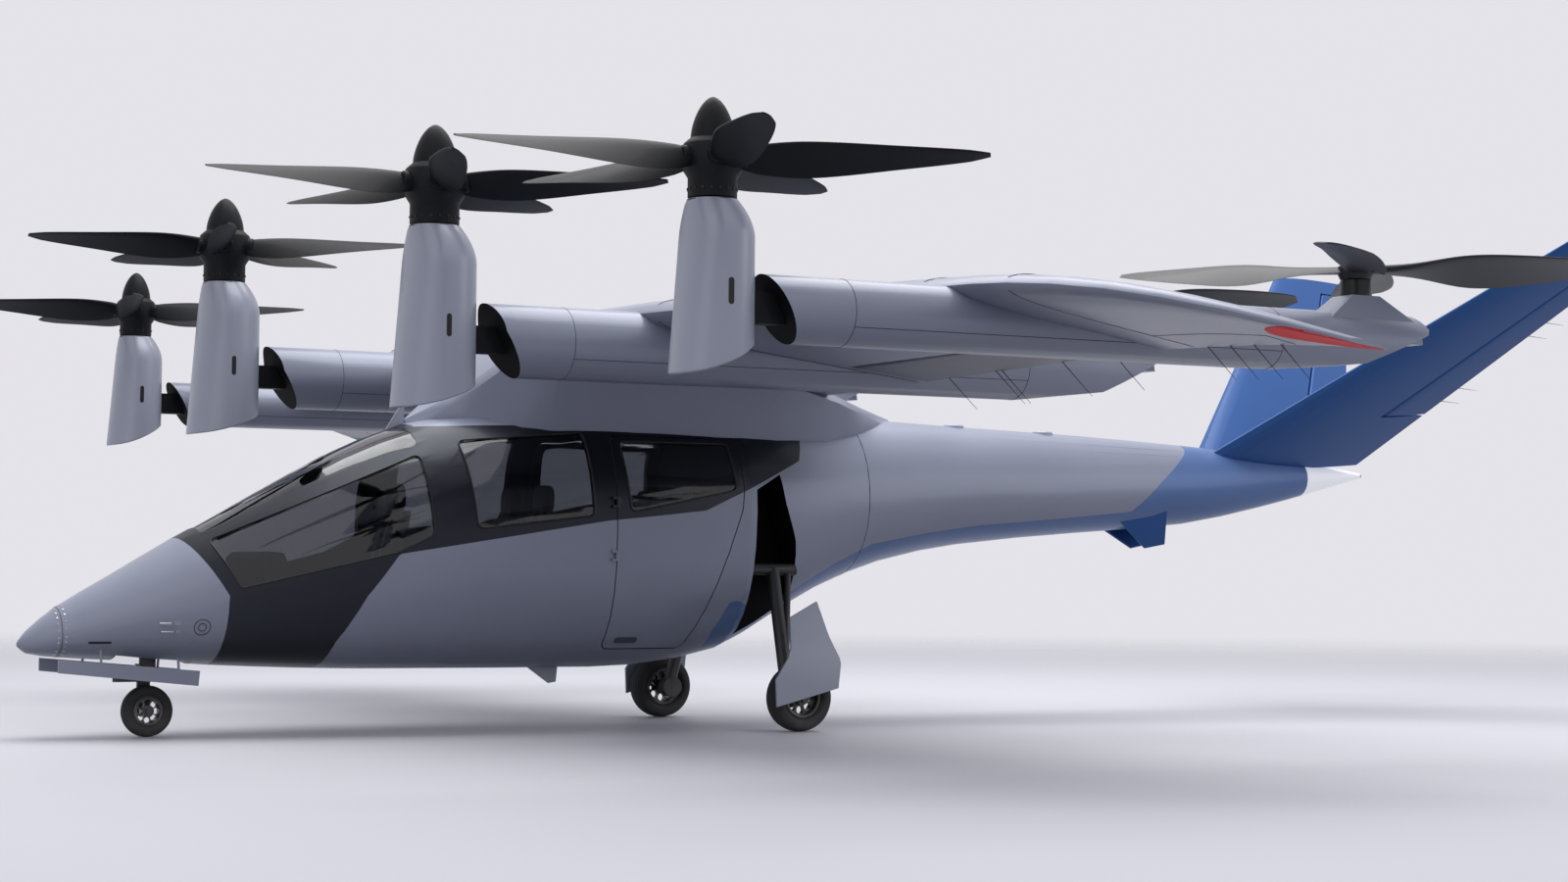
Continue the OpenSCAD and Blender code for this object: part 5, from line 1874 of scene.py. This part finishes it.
    def fittings(self) -> None:
        """Latch slots and collar seal of the nacelle, and the bolts of both hubs."""
        unit, name = self.unit, self.name
        center = at(unit.station, self.y, unit.axis_z + 65)
        slots = []
        for way in SIDES:
            face = way * (unit.nacelle_r + 1.5) * MM
            outline = [center + Vector((u * MM, face, w * MM)) for u, w in stadium(34, 150)]
            slots.append((outline, ACROSS * (-way * 0.012)))
        Forms.slabs(name + "_latch_slots", slots, Palette.black, name + "_nacelle")
        r = unit.collar_r
        ring = [at(unit.station + r * math.cos(a), self.y + r * math.sin(a), unit.joint_z - 6)
                for a in turns(64, True)]
        Workshop.bead(name + "_collar_seal", [ring], 0.005, Palette.black, name + "_nacelle")
        r *= 0.995
        out = [(at(unit.station + r * math.cos(a), self.y + r * math.sin(a), unit.joint_z + 55),
                Vector((-math.cos(a), math.sin(a), 0.0))) for a in turns(18)]
        Workshop.studs(name + "_hub_bolts", out, 0.009, 0.006, Palette.black, name + "_prop", 6)
        post = at(unit.rotor_station, self.y, unit.post_z + 100)
        bolts = [(post + Vector((0.085 * math.cos(a), 0.085 * math.sin(a), 0.112)), UPWARD) for a in turns(8)]
        Workshop.studs(name + "_rotor_bolts", bolts, 0.010, 0.012, Palette.gear, name + "_rotor", 6)


@dataclass
class LiftGear:
    """The booms with their tilting nacelles and rear rotors."""

    units: tuple[TiltUnit, ...] = (
        TiltUnit("inboard", 2176, 2131, 2700, 245, 275, 3435, 3720, 4106, 163, 2230, 2395, 2720, 7890, 7430),
        TiltUnit("outboard", 5549, 2414, 2660, 195, 235, 3252, 3490, 3831, 139, 2270, 2460, 2910, 7520, 7060))

    def build(self) -> None:
        """Dresses the arms, the posts and the booms, and makes what they carry."""
        Workshop.skin("tilt_arms", Palette.carbon)
        # The rotor posts get black trim: partly their own dark paint, partly painted shade from the rotors
        # above.
        Workshop.skin("rotor_posts", Palette.black)
        for unit in self.units:
            # Forward faces at each boom's open front get near black painted shade.
            Workshop.skin(unit.name + "_booms", Palette.silver, others=((Palette.hollow_shade, unit.in_mouth),))
            self.boom_lines(unit)
            for side in SIDES:
                LiftUnit(unit, side).build()

    def boom_lines(self, unit: TiltUnit) -> None:
        """Panel joints round and along a pair of booms.

        Args:
            unit: the pair's places.
        """
        paths = []
        for side in SIDES:
            paths += [[unit.on_boom(station, side, a) for a in turns(48, True)]
                      for station in unit.boom_joints]
            paths += [[unit.on_boom(station, side, math.radians(angle)) for station in unit.boom_joints]
                      for angle in (-28.0, 208.0)]
        Workshop.bead(unit.name + "_boom_lines", paths, SEAM_R, Palette.seam, "airframe")


@dataclass(frozen=True)
class Wheel:
    """Place and sizes of one wheel in millimetres."""

    name: str
    station: float
    y: float
    radius: float
    half: float
    rim_r: float
    axle: float

    @property
    def body(self) -> str:
        """The CAD body that turns with it."""
        return self.name + "_wheel"

    @property
    def center(self) -> Vector:
        """Its middle."""
        return at(self.station, self.y, self.radius)


@dataclass
class LandingGear:
    """Legs, fairings and wheels."""

    wheels: tuple[Wheel, ...] = (Wheel("left_main", 5500, 1138, 250, 90, 150, 30),
                                 Wheel("right_main", 5500, -1138, 250, 90, 150, 30),
                                 Wheel("nose", 912, 0, 180, 55, 105, 20))
    bead: float = 0.72
    grooves: tuple[float, ...] = (-0.52, -0.18, 0.18, 0.52)
    groove_half: float = 0.045
    groove_depth: float = 6.0
    ribs: Flat = (0.62, 0.9)

    def build(self) -> None:
        """Dresses the gear and builds the tyres."""
        for node in ("nose_gear_leg", "nose_fork", "main_gear_legs"):
            Workshop.skin(node, Palette.gear)
        Workshop.skin("nose_gear_doors", Palette.silver)
        Workshop.skin("leg_fairings", Palette.pale)
        for wheel in self.wheels:
            Workshop.skin(wheel.name + "_rim", Palette.rim)
            self.tyre(wheel)
            self.wheel_fittings(wheel)
        self.lamps()

    def tyre(self, wheel: Wheel) -> None:
        """A tyre with round shoulders, grooves round its tread and ribs on its walls.

        Args:
            wheel: the wheel's sizes.
        """
        half, crown = wheel.half, wheel.radius - wheel.rim_r
        profile: list[Flat] = [(wheel.rim_r, self.bead * half), (wheel.rim_r, -self.bead * half)]
        for i in range(91):
            a = math.radians(-90 + 2 * i)
            across = half * math.copysign(abs(math.sin(a)) ** 0.8, math.sin(a))
            r = wheel.radius - crown * self.bead * (1 - abs(math.cos(a)) ** 0.6)
            dip = max(1 - abs(across / half - g) / self.groove_half for g in self.grooves)
            r -= self.groove_depth * min(1.0, max(0.0, 2.0 * dip))
            rib = 1.5 if self.ribs[0] < abs(across / half) < self.ribs[1] and (i // 2) % 2 else 0.0
            profile.append((r + rib, across))
        Forms.lathe(wheel.name + "_tread", [(profile, wheel.center, ACROSS)], Palette.rubber, wheel.body,
                    wheel.name + "_tire", steps=120, angle=50.0)

    def wheel_fittings(self, wheel: Wheel) -> None:
        """Flange rings and hub nuts of one wheel.

        Args:
            wheel: the wheel's sizes.
        """
        r = wheel.rim_r
        rings = []
        nuts = []
        for way in SIDES:
            face = way * self.bead * wheel.half
            ring = [(r - 16, face - way * 4), (r - 3, face - way * 4), (r - 3, face + way * 4),
                    (r - 8, face + way * 7), (r - 16, face + way * 4)]
            rings.append((ring, wheel.center, ACROSS))
            for a in turns(8):
                out = Vector((math.cos(a), 0.0, math.sin(a))) * ((wheel.axle + 12) * MM)
                nuts.append((wheel.center + out + ACROSS * (face * MM), ACROSS * way))
        Forms.lathe(wheel.name + "_flanges", rings, Palette.rim, wheel.body)
        Workshop.studs(wheel.name + "_hub_nuts", nuts, 0.006, 0.008, Palette.gear, wheel.body, 6)

    def lamps(self) -> None:
        """A landing lamp on the nose leg."""
        cup = [(0, -20), (34, -20), (44, 10), (44, 22), (38, 26), (0, 30)]
        forms = [(cup, at(850, 0, 470), Vector((1.0, 0.0, -0.12)))]
        Forms.lathe("landing_lamp", forms, Palette.lamp, "airframe", steps=32)


def main() -> None:
    """Builds the aircraft and its studio in order."""
    logging.basicConfig(level=logging.INFO, format="%(name)s %(message)s")
    Workshop.open()
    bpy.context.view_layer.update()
    Studio().build()
    for assembly in (Airframe(), Cabin(), LiftGear(), LandingGear()):
        assembly.build()


if __name__ == "__main__":
    main()
